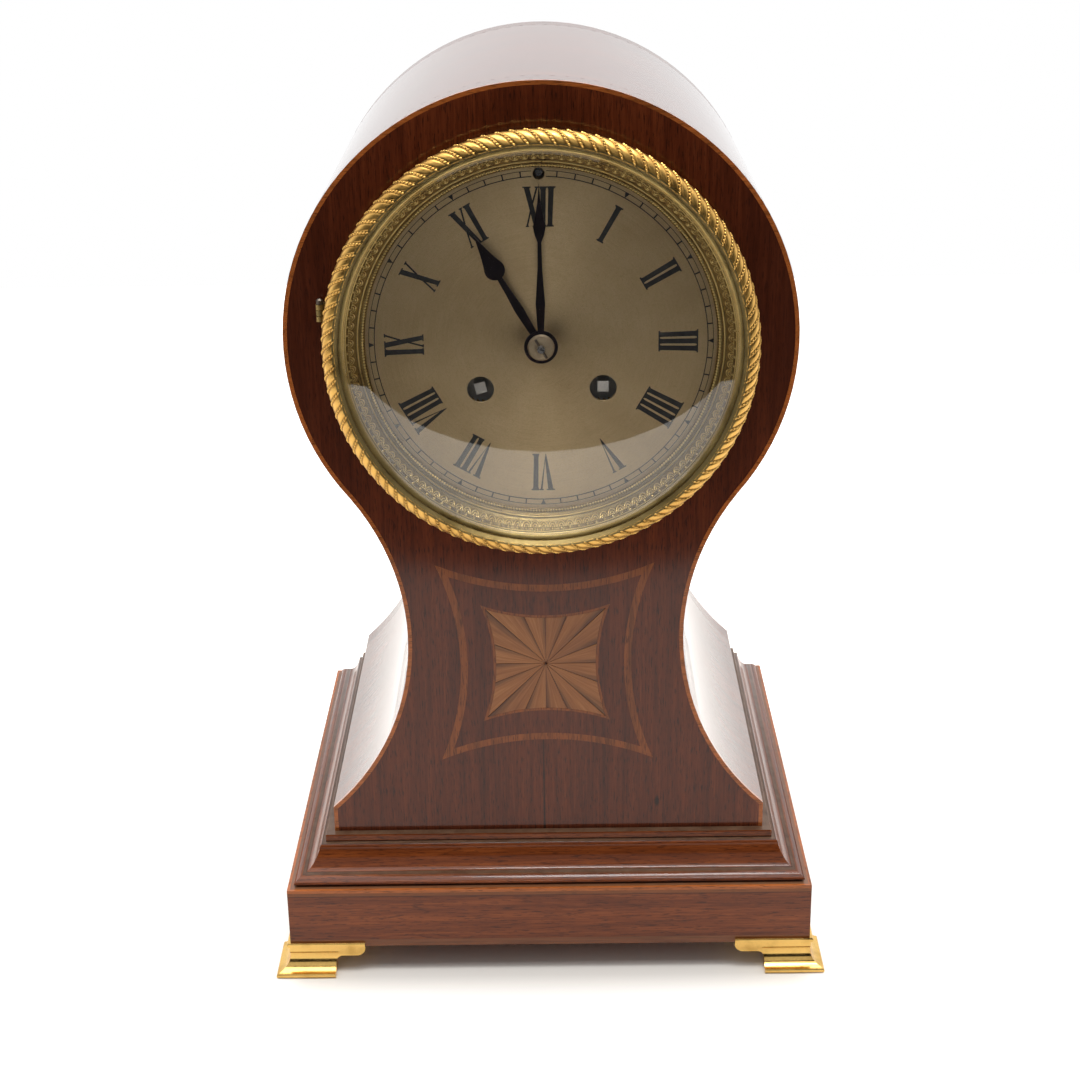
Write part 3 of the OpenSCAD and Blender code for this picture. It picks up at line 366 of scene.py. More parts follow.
def metal(name, colour, rough, spots=0.25, brush=None, tarnish=None, core=None, groove=None, behind=None):
    """Metal with fine marks in its gloss, cloudy patches of tone, and a darker tarnish in places.

    spots is how much darker the marks are, and brush stretches them into brush lines.
    core is (x, z, radius) of a steel arbor that runs from front to back through the piece.
    groove is the tone of the old dirt in the hollows of a piece that carries a depth attribute.
    behind is (y, tone): a dark tone, painted shade with some grime, for all that lies farther back than y."""
    s = Shader(name, Metallic=1.0)
    cloud = s.noise(s.place, 90, 4, 0.6)
    if brush:
        fine = s.noise(s.stretch(s.place, brush), 1, 3, 0.6)
    else:
        fine = s.noise(s.place, 1600, 3, 0.6)
    low = scaled(1 - spots, colour)
    bright = tuple(min(1, v) for v in scaled(1.06, colour))
    tone = s.ramp(cloud, (0.32, tarnish or low), (0.5, colour), (0.75, bright))
    tone = s.mix(s.times(s.span(fine, 0.52, 0.75), 0.35), tone, low)
    if core:
        core_x, core_z, core_r = core
        x, _, z = s.xyz()
        off = s.length(s.math("SUBTRACT", x, core_x), s.math("SUBTRACT", z, core_z))
        tone = s.mix(s.math("LESS_THAN", off, core_r), tone, STEEL)
    if groove:
        tone = s.mix(s.new("ShaderNodeAttribute", attribute_name="depth").outputs["Fac"], tone, groove)
    if behind:
        # Painted shade with some grime: all that lies farther back than the given y takes the dark tone
        dark_y, dark_tone = behind
        tone = s.mix(s.math("GREATER_THAN", s.xyz()[1], dark_y), tone, dark_tone)
    s.set("Base Color", tone)
    marks = s.blend(fine, cloud, 0.6)
    s.set("Roughness", s.span(marks, 0.3, 0.7, max(0.04, rough - METAL_WEAR), rough + METAL_WEAR))
    s.bump(fine, 0.12, 0.02 * MM)
    return s.mat


def dial_silver():
    """Silvered dial: a pale khaki metal coat with fine circular brush marks about the centre."""
    s = Shader("dial_silver", Metallic=0.88, Anisotropic=0.9, Anisotropic_Rotation=0.25)
    x, _, z = s.xyz()
    up = s.math("SUBTRACT", z, DRUM_Z * MM)
    round_place = s.join(s.times(s.length(x, up), 5200), s.times(s.math("ARCTAN2", x, up), 2.5), 0.0)
    rings = s.noise(round_place, 1, 3, 0.6)
    grainy = s.noise(s.place, 2600, 2, 0.5)
    cloud = s.noise(s.place, 28, 4, 0.6)
    tone = s.blend(cloud, rings, 0.6)
    colour = s.ramp(tone, (0.3, srgb(196, 168, 126)), (0.5, srgb(216, 190, 146)), (0.72, srgb(230, 205, 162)))
    colour = s.mix(s.times(s.span(grainy, 0.5, 0.75), 0.3), colour, srgb(176, 148, 108))
    s.set("Base Color", colour)
    s.set("Roughness", s.span(s.blend(rings, grainy, 0.5), 0.3, 0.7, 0.4, 0.56))
    tangent = s.new("ShaderNodeTangent", direction_type="RADIAL", axis="Y")
    s.set("Tangent", tangent.outputs[0])
    s.bump(s.math("ADD", rings, grainy), 0.12, 0.02 * MM)
    return s.mat


def clear_glass():
    """Old convex glass: it lets lamp light through to the dial, and its gloss is faintly smeared."""
    s = Shader("dome_glass", Transmission_Weight=1.0, IOR=1.6, Base_Color=(1, 1, 1, 1))
    smear = s.noise(s.place, 60, 3, 0.6)
    s.set("Roughness", s.span(smear, 0.4, 0.75, 0.0, 0.03))
    path = s.new("ShaderNodeLightPath")
    clear = s.new("ShaderNodeBsdfTransparent")
    both = s.new("ShaderNodeMixShader")
    lamp = s.math("MAXIMUM", path.outputs["Is Shadow Ray"], path.outputs["Is Diffuse Ray"])
    s.put(both.inputs[0], lamp)
    s.put(both.inputs[1], s.bsdf.outputs[0])
    s.put(both.inputs[2], clear.outputs[0])
    s.put(s.tree.nodes["Material Output"].inputs["Surface"], both.outputs[0])
    return s.mat


def black_wax():
    """Worn black wax of the numerals and the minute track."""
    s = Shader("black_wax", Metallic=0.0)
    worn = s.noise(s.place, 700, 4, 0.65)
    dark, mid, pale = (0.01, 0.009, 0.009), (0.022, 0.019, 0.018), (0.05, 0.045, 0.04)
    s.set("Base Color", s.ramp(worn, (0.35, dark), (0.6, mid), (0.8, pale)))
    s.set("Roughness", s.span(worn, 0.3, 0.7, 0.3, 0.55))
    s.bump(worn, 0.2, 0.03 * MM)
    return s.mat


# Looks of the CAD pieces: by node where a piece has its own, otherwise by material slot

# Painted shade in the moulding's corners and under the body: (height over the plinth, half width), in
# millimetres
MOULD_SHADE_LINES = ((0.4, 0.45), (3.5, 0.25), (12.1, 0.35), (14.75, 0.06))
# Behind the dial the winding arbors are darkened: painted shade of the winding holes, with some grime
ARBOR_GRIME_AND_SHADE = (-62.5 * MM, (0.05, 0.045, 0.04))

wax_look = black_wax()
rope_gilt = metal("rope_gilt", (0.97, 0.58, 0.16), 0.34, tarnish=(0.74, 0.42, 0.11),
                  groove=(0.38, 0.2, 0.05))
sight_brass = metal("sight_brass", (0.76, 0.56, 0.22), 0.36, tarnish=(0.58, 0.4, 0.14),
                    groove=(0.1, 0.065, 0.02))
rear = metal("rear_brass", OLD_BRASS, 0.3, spots=0.1)
plate = metal("plate_brass", OLD_BRASS, 0.3, brush=(250, 900, 2400))
spring = metal("spring_steel", (0.25, 0.26, 0.3), 0.3)
blued = metal("blued_steel", (0.03, 0.02, 0.026), 0.36, tarnish=(0.045, 0.024, 0.026))
dull = metal("dull_steel", (0.17, 0.14, 0.11), 0.42)
slot_look = {
    "foot_brass": metal("foot_brass", BRASS, 0.16, tarnish=(0.64, 0.38, 0.1)),
    "gilt": metal("gilt", GILT, 0.22, tarnish=(0.72, 0.46, 0.15)),
    "silvered": metal("collet_silver", (0.42, 0.33, 0.22), 0.56),
    "blued_steel": blued,
    "steel": metal("bright_steel", STEEL, 0.24),
    "movement_brass": metal("wheel_brass", WHEEL_BRASS, 0.26),
    "bell_metal": metal("bell_metal", (0.78, 0.62, 0.34), 0.2),
}
looks = {
    "front_panel": front_wood(),
    "side_band": plain_wood("veneer_round", "round", shift=(1, 2, 3), gloss=0.06),
    "back_panel": plain_wood("back_mahogany", "up", (0.9, 0.9, 0.9), shift=(4, 1, 7), gloss=0.2),
    "base_moulding": plain_wood("moulding_mahogany", "along", (1.5, 1.85, 1.55), dust_and_sheen=0.8, shade_lines=MOULD_SHADE_LINES,
                                shift=(2, 5, 1), gloss=0.07, coat=0.6),
    "plinth": plain_wood("plinth_mahogany", "along", (1.65, 1.95, 1.75), dust_and_sheen=0.6, banded=True,
                         shift=(7, 3, 2), gloss=0.1),
    "stringing": boxwood("edge_boxwood", "along", srgb(178, 98, 44), band=(0.2, 0.066, 0.024)),
    "inlay_lines": boxwood("line_boxwood", "up", srgb(136, 70, 26)),
    "inlay_fan": fan_wood(),
    "dial": dial_silver(),
    "dial_ring": metal("ring_brass", (0.42, 0.29, 0.11), 0.42),
    "bezel": metal("bezel_brass", (0.3, 0.22, 0.09), 0.45, tarnish=(0.2, 0.14, 0.05)),
    "bezel_glass": clear_glass(),
    "hinge_pins": dull,
    "hand_pin": dull,
    "rear_door": rear,
    "rear_ring": rear,
    "front_plate": plate,
    "back_plate": plate,
    "back_cock": plate,
    "straps": plate,
    "going_spring": spring,
    "strike_spring": spring,
}
for name in ("going_arbor", "strike_arbor"):
    looks[name] = metal(name + "_steel", (0.82, 0.79, 0.74), 0.5, behind=ARBOR_GRIME_AND_SHADE)

# Wheels whose steel arbor and pinion are part of the same piece, with the radius of the steel
ARBOR_R = 1.9
THICK_ARBOR_R = {"second_wheel": 3.05, "strike_second": 3.05}
for joint in frame["record"]["behaviour"]["joints"]:
    name = joint["child"]
    if name.endswith("_wheel") and name != "minute_wheel" or name in ("strike_second", "fly"):
        x, _, z = joint["pos_m"]
        core = (x, z, THICK_ARBOR_R.get(name, ARBOR_R) * MM)
        looks[name] = metal(name + "_metal", WHEEL_BRASS, 0.26, core=core)
for row in frame["record"]["subparts"]:
    mesh = nodes[row["node"]].data
    mesh.materials.clear()
    mesh.materials.append(looks.get(row["node"]) or slot_look[row["material_slot"]])


# Pieces made here


def show(name, mesh, mat, body, stands_for=None):
    """Puts a mesh into the scene as a piece that rides a body, in place of a CAD node where one is given."""
    mesh.materials.append(mat)
    obj = bpy.data.objects.new(name, mesh)
    bpy.context.scene.collection.objects.link(obj)
    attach(obj, body)
    if stands_for:
        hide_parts(stands_for)
    return obj


def piece(name, verts, faces, mat, body, smooth=True, stands_for=None, depth=None):
    """A piece made from points and faces; depth is how far each point lies in a hollow, from 0 to 1."""
    mesh = bpy.data.meshes.new(name)
    mesh.from_pydata(verts, [], faces)
    mesh.validate()
    mesh.polygons.foreach_set("use_smooth", [smooth] * len(mesh.polygons))
    if depth is not None:
        mesh.attributes.new("depth", "FLOAT", "POINT").data.foreach_set("value", np.ravel(depth))
    return show(name, mesh, mat, body, stands_for)


def ring_faces(around, across):
    """Quads of a surface closed both ways: around the dial and across the section."""
    i = np.arange(around)[:, None]
    j = np.arange(across)[None, :]
    a = i * across + j
    b = i * across + (j + 1) % across
    c = ((i + 1) % around) * across + (j + 1) % across
    d = ((i + 1) % around) * across + j
    return np.stack([a, b, c, d], -1).reshape(-1, 4).tolist()


def ring_points(r, a, t):
    """Points at radius r, clockwise angle a from twelve and t in front of the case front, in metres."""
    x = r * np.sin(a) * MM
    z = (DRUM_Z + r * np.cos(a)) * MM
    y = (FRONT_Y - t) * MM
    return np.stack([x, y, z], -1).reshape(-1, 3).tolist()


def full_turn(steps):
    """The angles of even steps around the dial."""
    return np.arange(steps) / steps * 2 * np.pi


def repeats(turn, count):
    """Place within each of count equal cells around the dial, from 0 to 1."""
    return (turn * count / (2 * np.pi)) % 1.0


def bead_top(*shares):
    """Height of a round bead, from 0 to 1; shares are the distances from its middle over its half widths."""
    return np.sqrt(np.clip(1 - sum(v ** 2 for v in shares), 0, 1))


def curve(start, pull, end, steps):
    """Points of a plain curve from start to end, drawn towards pull on the way; the end is left out."""
    points = []
    for k in range(steps):
        t = k / steps
        points.append(tuple((1 - t) ** 2 * a + 2 * t * (1 - t) * b + t * t * c
                            for a, b, c in zip(start, pull, end)))
    return points


# The moulding: points (inset from the plinth's edge, height over the plinth) of an undercut foot, a quarter
# round, a wide hollow, a rounded nose and the fillet that the body stands on
MOULD_RUN = [(3.1, 0), (3.1, 0.75), (2.45, 0.75)]
MOULD_RUN += curve((2.3, 0.95), (2.2, 1.6), (2.75, 1.75), 4)
MOULD_RUN += curve((2.75, 1.75), (4.2, 3.05), (6.1, 3.55), 8)
MOULD_RUN += curve((6.1, 3.55), (9.0, 4.7), (11.0, 10.2), 14)
MOULD_RUN += curve((11.0, 10.2), (11.0, 11.9), (12.2, 11.95), 6)
MOULD_RUN += [(12.2, 11.95), (13.15, 12.0), (13.15, 14.45), (13.3, 14.7), (24.0, 14.7)]
CORNERS = ((1, -1), (1, 1), (-1, 1), (-1, -1))

steps = len(MOULD_RUN)
verts = [(sx * (PLINTH_W / 2 - inset) * MM, sy * (PLINTH_D / 2 - inset) * MM, (PLINTH_TOP + z) * MM)
         for sx, sy in CORNERS for inset, z in MOULD_RUN]
faces = []
for k in range(4):
    here = k * steps
    there = (k + 1) % 4 * steps
    faces += [[here + i, there + i, there + i + 1, here + i + 1] for i in range(steps - 1)]
faces.append([k * steps for k in (3, 2, 1, 0)])
faces.append([k * steps + steps - 1 for k in range(4)])
moulding = piece("moulding_run", verts, faces, looks["base_moulding"], "case",
                 stands_for="base_moulding")
moulding.data.set_sharp_from_angle(angle=math.radians(35))

# The glass: the same dome and bevelled edge as the solid, turned in fine rings around a small plain disc.
# First t at the back of its edge and the rise of the dome, then its thickness in the middle and at the edge,
# then the radii of the edge, of the bevel's inner side and of the disc.
GLASS_BACK, GLASS_RISE = 8.2, 6.5
GLASS_T, GLASS_EDGE_T = 1.8, 0.8
GLASS_R, BEVEL_R, PLAIN_R = 65.2, 62.4, 0.5
GLASS_STEPS, GLASS_RINGS = 192, 32
DOME_R = (GLASS_R ** 2 + GLASS_RISE ** 2) / (2 * GLASS_RISE)


def dome(r):
    """Height of the dome's inside over the back of its edge."""
    return GLASS_RISE + np.sqrt(DOME_R ** 2 - r ** 2) - DOME_R


inside = np.linspace(PLAIN_R, GLASS_R, GLASS_RINGS + 1)
outside = np.linspace(BEVEL_R, PLAIN_R, GLASS_RINGS)
glass_r = np.concatenate([inside, [GLASS_R], outside])
glass_t = GLASS_BACK + np.concatenate([dome(inside), [GLASS_EDGE_T], dome(outside) + GLASS_T])
T, R = np.meshgrid(full_turn(GLASS_STEPS), glass_r, indexing="ij")
rows = len(glass_r)
faces = [f for k, f in enumerate(ring_faces(*R.shape)) if k % rows != rows - 1]
faces.append([k * rows for k in range(GLASS_STEPS)])
faces.append([k * rows + rows - 1 for k in range(GLASS_STEPS)][::-1])
glass = piece("glass_dome", ring_points(R, T, np.broadcast_to(glass_t, R.shape)), faces, looks["bezel_glass"],
              "front_bezel", stands_for="bezel_glass")
glass.data.set_sharp_from_angle(angle=math.radians(10))

# The rope: a rounded edge of slanting smooth strands with a row of small beads in each valley.
# Its round has its centre at ROPE_R, ROPE_T and runs from the foot to ROPE_IN. The two corners of its back,
# on the bezel, are at ROPE_CREST, ROPE_SEAT and at ROPE_WALL, ROPE_FOOT. LAY is the slant of the strands.
ROPE_R, ROPE_T, ROPE_ROUND = 65.65, 7.75, 4.15
ROPE_IN, ROPE_CREST, ROPE_SEAT, ROPE_WALL, ROPE_FOOT = 65.3, 66.1, 9.45, 68.4, 7.15
STRANDS, STRAND_STEPS, ROPE_STEPS, LAY = 99, 22, 60, 1.15
# Depths of the valleys and of the strands' crests under the round, and how far the beads stand over it
VALLEY, STRAND_DROP, BEAD_PROUD = 0.36, 0.16, 0.1
# The bead row's share of each cell, the step from bead to bead, and a bead's half widths as shares of both
BEAD_SHARE, BEAD_PITCH, BEAD_ACROSS, BEAD_ALONG = 0.34, 0.95, 0.34, 0.46

low = math.asin((ROPE_FOOT - ROPE_T) / ROPE_ROUND)
high = math.acos((ROPE_IN - ROPE_R) / ROPE_ROUND)
turn = full_turn(STRANDS * STRAND_STEPS)
T, S = np.meshgrid(turn, np.linspace(low, high, ROPE_STEPS), indexing="ij")
phase = (STRANDS * T / (2 * np.pi) - LAY * S / (np.pi / 2)) % 1.0
strand = np.clip((phase - BEAD_SHARE) / (1 - BEAD_SHARE), 0, 1) * 2 - 1
strand_depth = STRAND_DROP + (VALLEY - STRAND_DROP) * strand ** 4
across_row = phase / BEAD_SHARE - 0.5
along_row = (S * ROPE_ROUND / BEAD_PITCH) % 1.0 - 0.5
bead_depth = VALLEY - (VALLEY + BEAD_PROUD) * bead_top(across_row / BEAD_ACROSS, along_row / BEAD_ALONG)
sunk = np.where(phase < BEAD_SHARE, bead_depth, strand_depth)
reach = ROPE_ROUND - sunk
inner_r = np.broadcast_to([ROPE_CREST, ROPE_WALL], (len(turn), 2))
inner_t = np.broadcast_to([ROPE_SEAT, ROPE_FOOT], (len(turn), 2))
rope_r = np.concatenate([ROPE_R + reach * np.cos(S), inner_r], 1)
rope_t = np.concatenate([ROPE_T + reach * np.sin(S), inner_t], 1)
around = np.broadcast_to(turn[:, None], rope_r.shape)
depth = np.pad(np.clip(sunk / VALLEY, 0, 1) ** 2, ((0, 0), (0, 2)))
piece("rope_ring", ring_points(rope_r, around, rope_t), ring_faces(*rope_r.shape), rope_gilt,
      "front_bezel", stands_for="bezel_rope", depth=depth)

# The sight ring: a slope of small shells between plain fillets, with a beaded inner edge.
# The corners of its section are (radius, t), and U is the way along its face from the inner edge.
RING_FRONT = [(56.4, 0.5), (57.6, 1.5), (58.9, 3.0), (59.4, 3.6), (62.4, 7.9), (62.8, 8.2)]
RING_BACK = [(65.38, 8.2), (65.38, 7.2), (63.4, 7.2), (62.6, 6.6),
             (59.6, 2.4), (58.2, 0.6), (57.3, -0.1), (56.4, -0.1)]
# Each shell fans out from a point at SHELL_HIGH over its foot, in ridges that lie RIDGE_PITCH apart
SHELLS, SHELL_STEPS, SHELL_MID_R = 133, 14, 60.9
SHELL_FOOT, SHELL_HIGH, SHELL_SQUASH, SHELL_HALF = 3.35, 3.4, 0.62, 1.45
RIDGE_PITCH, RIDGE_AT, BETWEEN_SHELLS = 0.62, 1.25, 0.15
# Over each shell stands a small drop, and the relief of both lies between two heights over the shells' foot
DROP_FROM, DROP_AT, DROP_HALF_W, DROP_HALF_H = 3.7, 4.4, 0.45, 0.5
RELIEF_FROM, RELIEF_TO, RELIEF_SINK = 0.1, 5.1, 0.32
# The bead row, the fillet between beads and shells, and the groove outside the drops
BEADS, BEAD_STEP, BEAD_HALF_W, BEAD_HALF_H = 380, 0.95, 0.46, 0.5
BEAD_AT, BEAD_END, BEAD_SINK = 0.7, 1.25, 0.36
FILLET_AT, FILLET_HALF, FILLET_SINK = 2.85, 0.42, 0.34
GROOVE_FROM, GROOVE_TO, GROOVE_SINK = 5.45, 5.8, 0.3
# The depth at which old dirt is darkest, and the steps along the face: beads, shells and rim
DIRT_DEPTH = 0.4
BEAD_STEPS, SLOPE_STEPS, RIM_STEPS = 33, 33, 4

corner = np.array(RING_FRONT)
run = np.concatenate([[0], np.cumsum(np.hypot(*np.diff(corner, axis=0).T))])
along = np.concatenate([np.linspace(0, run[3], BEAD_STEPS, endpoint=False),
                        np.linspace(run[3], run[4], SLOPE_STEPS, endpoint=False),
                        np.linspace(run[4], run[5], RIM_STEPS + 1)])
face_r = np.interp(along, run, corner[:, 0])
face_t = np.interp(along, run, corner[:, 1])
turn = full_turn(SHELLS * SHELL_STEPS)
T, U = np.meshgrid(turn, along, indexing="ij")
cell = (repeats(T, SHELLS) - 0.5) * (2 * np.pi * SHELL_MID_R / SHELLS)
up = U - SHELL_FOOT
arc = np.hypot(cell, (np.clip(up, 0, SHELL_HIGH) - SHELL_HIGH) * SHELL_SQUASH)
ridges = 0.5 + 0.5 * np.cos(2 * np.pi * (arc - RIDGE_AT) / RIDGE_PITCH)
shell = np.where(arc < SHELL_HALF, ridges, BETWEEN_SHELLS)
drop = bead_top(cell / DROP_HALF_W, (up - DROP_AT) / DROP_HALF_H)
relief = RELIEF_SINK * (1 - np.where(up > DROP_FROM, drop, shell))
sunk = np.where((up > RELIEF_FROM) & (up < RELIEF_TO), relief, 0.0)
bead = bead_top((repeats(T, BEADS) - 0.5) * BEAD_STEP / BEAD_HALF_W, (U - BEAD_AT) / BEAD_HALF_H)
sunk += np.where(U < BEAD_END, BEAD_SINK * (1 - bead), 0.0)
fillet = bead_top((U - FILLET_AT) / FILLET_HALF)
sunk += np.where((U >= BEAD_END) & (up <= RELIEF_FROM), FILLET_SINK * (1 - fillet), 0.0)
sunk += np.where((up > GROOVE_FROM) & (up < GROOVE_TO), GROOVE_SINK, 0.0)
front_r = face_r + sunk * np.gradient(face_t, along)
front_t = face_t - sunk * np.gradient(face_r, along)
back = np.array(RING_BACK)
back_shape = (len(turn), len(back))
ring_r = np.concatenate([front_r, np.broadcast_to(back[:, 0], back_shape)], 1)
ring_t = np.concatenate([front_t, np.broadcast_to(back[:, 1], back_shape)], 1)
around = np.broadcast_to(turn[:, None], ring_r.shape)
depth = np.pad(np.clip(sunk / DIRT_DEPTH, 0, 1), ((0, 0), (0, len(back))))
piece("shell_ring", ring_points(ring_r, around, ring_t), ring_faces(*ring_r.shape), sight_brass,
      "front_bezel", stands_for="sight_ring", depth=depth)

# Numerals and minute track, a thin layer of black wax on the dial
WAX_BACK, WAX_FRONT = DIAL_T - 0.02, DIAL_T + 0.06


class Wax:
    """Collects flat shapes and makes each a thin plate."""

    def __init__(self):
        self.verts = []
        self.faces = []

    def add(self, outline):
        """outline: points (x, z) from the dial centre, clockwise or not, in millimetres."""
        bm = bmesh.new()
        bm.faces.new([bm.verts.new(dial_point(x, z, WAX_BACK)) for x, z in outline])
        bmesh.ops.recalc_face_normals(bm, faces=bm.faces)
        flip = bm.faces[:][0].normal.y > 0
        bm.free()
        pts = outline[::-1] if flip else outline
        n = len(pts)
        base = len(self.verts)
        for t in (WAX_BACK, WAX_FRONT):
            self.verts += [dial_point(x, z, t) for x, z in pts]
        self.faces.append([base + n + i for i in range(n)])
        self.faces.append([base + i for i in range(n)][::-1])
        for i in range(n):
            j = (i + 1) % n
            self.faces.append([base + i, base + j, base + n + j, base + n + i])

    def band(self, r_in, r_out, gap, parts=360):
        """A circular line, left open by gap degrees on each side of twelve."""
        base = len(self.verts)
        for k in range(parts + 1):
            a = math.radians(gap + (360 - 2 * gap) * k / parts)
            for r, t in ((r_in, WAX_BACK), (r_in, WAX_FRONT), (r_out, WAX_FRONT), (r_out, WAX_BACK)):
                self.verts.append(clock_point(r, a, t))
        for k in range(parts):
            here = base + 4 * k
            for i in range(4):
                j = (i + 1) % 4
                self.faces.append([here + i, here + j, here + 4 + j, here + 4 + i])
        self.faces.append([base + i for i in (3, 2, 1, 0)])
        self.faces.append([base + 4 * parts + i for i in range(4)])

    def show(self, name):
        piece(name, self.verts, self.faces, wax_look, "case", smooth=False)


def turned(r, u, a):
    """The point at height r and u to the right, turned clockwise by a about the dial centre."""
    return (r * math.sin(a) + u * math.cos(a), r * math.cos(a) - u * math.sin(a))


# Numerals: radii of their feet and heads, and the widths of strokes, hairlines, gaps and serifs
NUM_IN, NUM_OUT = 37.6, 50.3
NUM_MID = (NUM_IN + NUM_OUT) / 2
TALL = NUM_OUT - NUM_IN
STROKE, HAIR, GAP = 1.6, 0.55, 0.72
WIDE = {"I": STROKE, "V": 3.9, "X": 4.1}
# Serifs: height, bracket and the small step between them, and the reach at a numeral's end and beside a V
# or X
SERIF, BRACKET, SERIF_STEP = 0.42, 0.75, 0.12
SERIF_OUT, SERIF_NEAR = 0.5, 0.3
# The V: height where its strokes part, the hair stroke's inset, the foot's step to the right and the half
# width of its point, and the half widths of the serifs
V_PART, V_HAIR_IN, V_FOOT, V_POINT = 2.3, 0.3, 0.1, 0.1
V_SERIF, V_HAIR_SERIF = STROKE / 2 + 0.45, 0.62
# The X: how far from the middle the hair stroke stops, its inset, and the half widths of the serifs
X_CLEAR, X_HAIR_IN = 1.15, 0.35
X_SERIF, X_HAIR_SERIF = STROKE / 2 + 0.4, 0.55


def stroke_i(u, left, right):
    """An upright with bracketed serifs; left and right are how far each serif stands out."""
    def side(s, out):
        tip = u + s * (STROKE / 2 + out)
        step = u + s * (STROKE / 2 + SERIF_STEP)
        stem = u + s * STROKE / 2
        foot = [(tip, 0), (tip, SERIF), (step, SERIF + SERIF_STEP), (stem, SERIF + BRACKET)]
        return foot + [(x, TALL - v) for x, v in foot[::-1]]

    return [side(1, right) + side(-1, left)[::-1]]


def slant(u0, v0, u1, v1, w):
    """A slanting bar cut level at both ends, w wide along the level."""
    return [(u0 - w / 2, v0), (u0 + w / 2, v0), (u1 + w / 2, v1), (u1 - w / 2, v1)]


def serif(u, half, foot):
    """A plain serif that stands at height foot."""
    return [(u - half, foot), (u + half, foot), (u + half, foot + SERIF), (u - half, foot + SERIF)]


def stroke_v(u):
    """Thick left and hair right stroke, meeting in a point at the foot."""
    head = TALL - SERIF
    left = u - WIDE["V"] / 2 + STROKE / 2
    right = u + WIDE["V"] / 2 - V_HAIR_IN
    foot = u + V_FOOT
    thick = [(left - STROKE / 2, head), (left + STROKE / 2, head), (foot + 0.28, V_PART), (foot + V_POINT, 0),
             (foot - V_POINT, 0)]
    thin = [(foot + 0.3, V_PART + 0.2), (right - HAIR / 2, head), (right + HAIR / 2, head),
            (foot + 0.12 + V_POINT * V_PART / head, 0.15)]
    return [thick, thin, serif(left, V_SERIF, head), serif(right, V_HAIR_SERIF, head)]


def stroke_x(u):
    """Thick stroke from the upper left to the lower right, crossed by a hair stroke in two lengths."""
    foot = SERIF
    head = TALL - SERIF
    thick_reach = WIDE["X"] / 2 - STROKE / 2
    hair_reach = WIDE["X"] / 2 - X_HAIR_IN
    middle = TALL / 2

    def hair(v):
        return u + hair_reach * (2 * (v - foot) / (head - foot) - 1)

    over = middle + X_CLEAR
    under = middle - X_CLEAR
    return [slant(u + thick_reach, foot, u - thick_reach, head, STROKE),
            slant(hair(over), over, u + hair_reach, head, HAIR),
            slant(u - hair_reach, foot, hair(under), under, HAIR),
            serif(u - thick_reach, X_SERIF, head), serif(u + thick_reach, X_SERIF, 0),
            serif(u + hair_reach, X_HAIR_SERIF, head), serif(u - hair_reach, X_HAIR_SERIF, 0)]


def numeral(text):
    """The strokes of a numeral, side by side and centred, in millimetres along and up the numeral."""
    def serif_reach(k):
        if not 0 <= k < len(text):
            return SERIF_OUT
        return GAP / 2 if text[k] == "I" else SERIF_NEAR

    u = -(sum(WIDE[c] for c in text) + GAP * (len(text) - 1)) / 2
    shapes = []
    for k, c in enumerate(text):
        middle = u + WIDE[c] / 2
        if c == "I":
            shapes += stroke_i(middle, serif_reach(k - 1), serif_reach(k + 1))
        elif c == "V":
            shapes += stroke_v(middle)
        else:
            shapes += stroke_x(middle)
        u += WIDE[c] + GAP
    return shapes


wax = Wax()
for hour, text in enumerate("XII I II III IIII V VI VII VIII IX X XI".split()):
    a = math.radians(30 * hour)
    for outline in numeral(text):
        # A numeral grows a little wider outwards
        wax.add([turned(NUM_IN + v, u * (0.5 + 0.5 * (NUM_IN + v) / NUM_MID), a) for u, v in outline])
wax.show("numerals")

# Minute track: two circles with a tick for each minute and a dart for each fifth, left open by HOLE_GAP
# degrees on each side of the small hole at twelve
TRACK_IN, TRACK_OUT, IN_LINE, OUT_LINE, HOLE_GAP = 53.3, 55.3, 0.3, 0.18, 2.4
TICK, DART_POINT, DART = 0.42, 0.168, 1.5

wax = Wax()
wax.band(TRACK_IN, TRACK_IN + IN_LINE, HOLE_GAP)
wax.band(TRACK_OUT - OUT_LINE, TRACK_OUT, HOLE_GAP)
for minute in range(1, 60):
    a = math.radians(6 * minute)
    w_in, w_out = (DART_POINT, DART) if minute % 5 == 0 else (TICK, TICK)
    r_in = TRACK_IN + IN_LINE
    r_out = TRACK_OUT - OUT_LINE
    shape = ((r_in, -w_in / 2), (r_in, w_in / 2), (r_out, w_out / 2), (r_out, -w_out / 2))
    wax.add([turned(r, u, a) for r, u in shape])
wax.show("minute_track")

# Hands: t of their front faces and the rounding of the edges there
HAND_FRONT = {"hour_hand": 2.7, "minute_hand": 4.9}
HAND_ROUND = 0.22


def polished_hand(node, front_t):
    """A copy of a hand with the edges of its front face rounded, as a polished hand has."""
    front_y = (FRONT_Y - front_t) * MM
    bm = bmesh.new()
    bm.from_mesh(nodes[node].data)
    bmesh.ops.remove_doubles(bm, verts=bm.verts, dist=1e-6)
    bmesh.ops.dissolve_limit(bm, angle_limit=math.radians(1.5), verts=bm.verts, edges=bm.edges)
    sharp = [e for e in bm.edges if len(e.link_faces) == 2 and e.calc_face_angle() > math.radians(50)
             and all(abs(v.co.y - front_y) < 0.01 * MM for v in e.verts)]
    bmesh.ops.bevel(bm, geom=sharp, offset=HAND_ROUND * MM, segments=2, profile=0.6, affect="EDGES",
                    clamp_overlap=True)
    bmesh.ops.triangulate(bm, faces=[f for f in bm.faces if len(f.verts) > 4])
    mesh = bpy.data.meshes.new(node + "_polished")
    bm.to_mesh(mesh)
    bm.free()
    show(node + "_polished", mesh, blued, node, stands_for=node)


for node, front_t in HAND_FRONT.items():
    polished_hand(node, front_t)


# Floor, light and camera, in metres

# The floor's front edge is hollow; the glass and the polish mirror it
FLOOR_FRONT, FLOOR_BACK, FLOOR_HALF = -0.42, 0.9, 0.9
HOLLOW_HALF, HOLLOW_STEPS, HOLLOW = 0.3, 6, 2.0
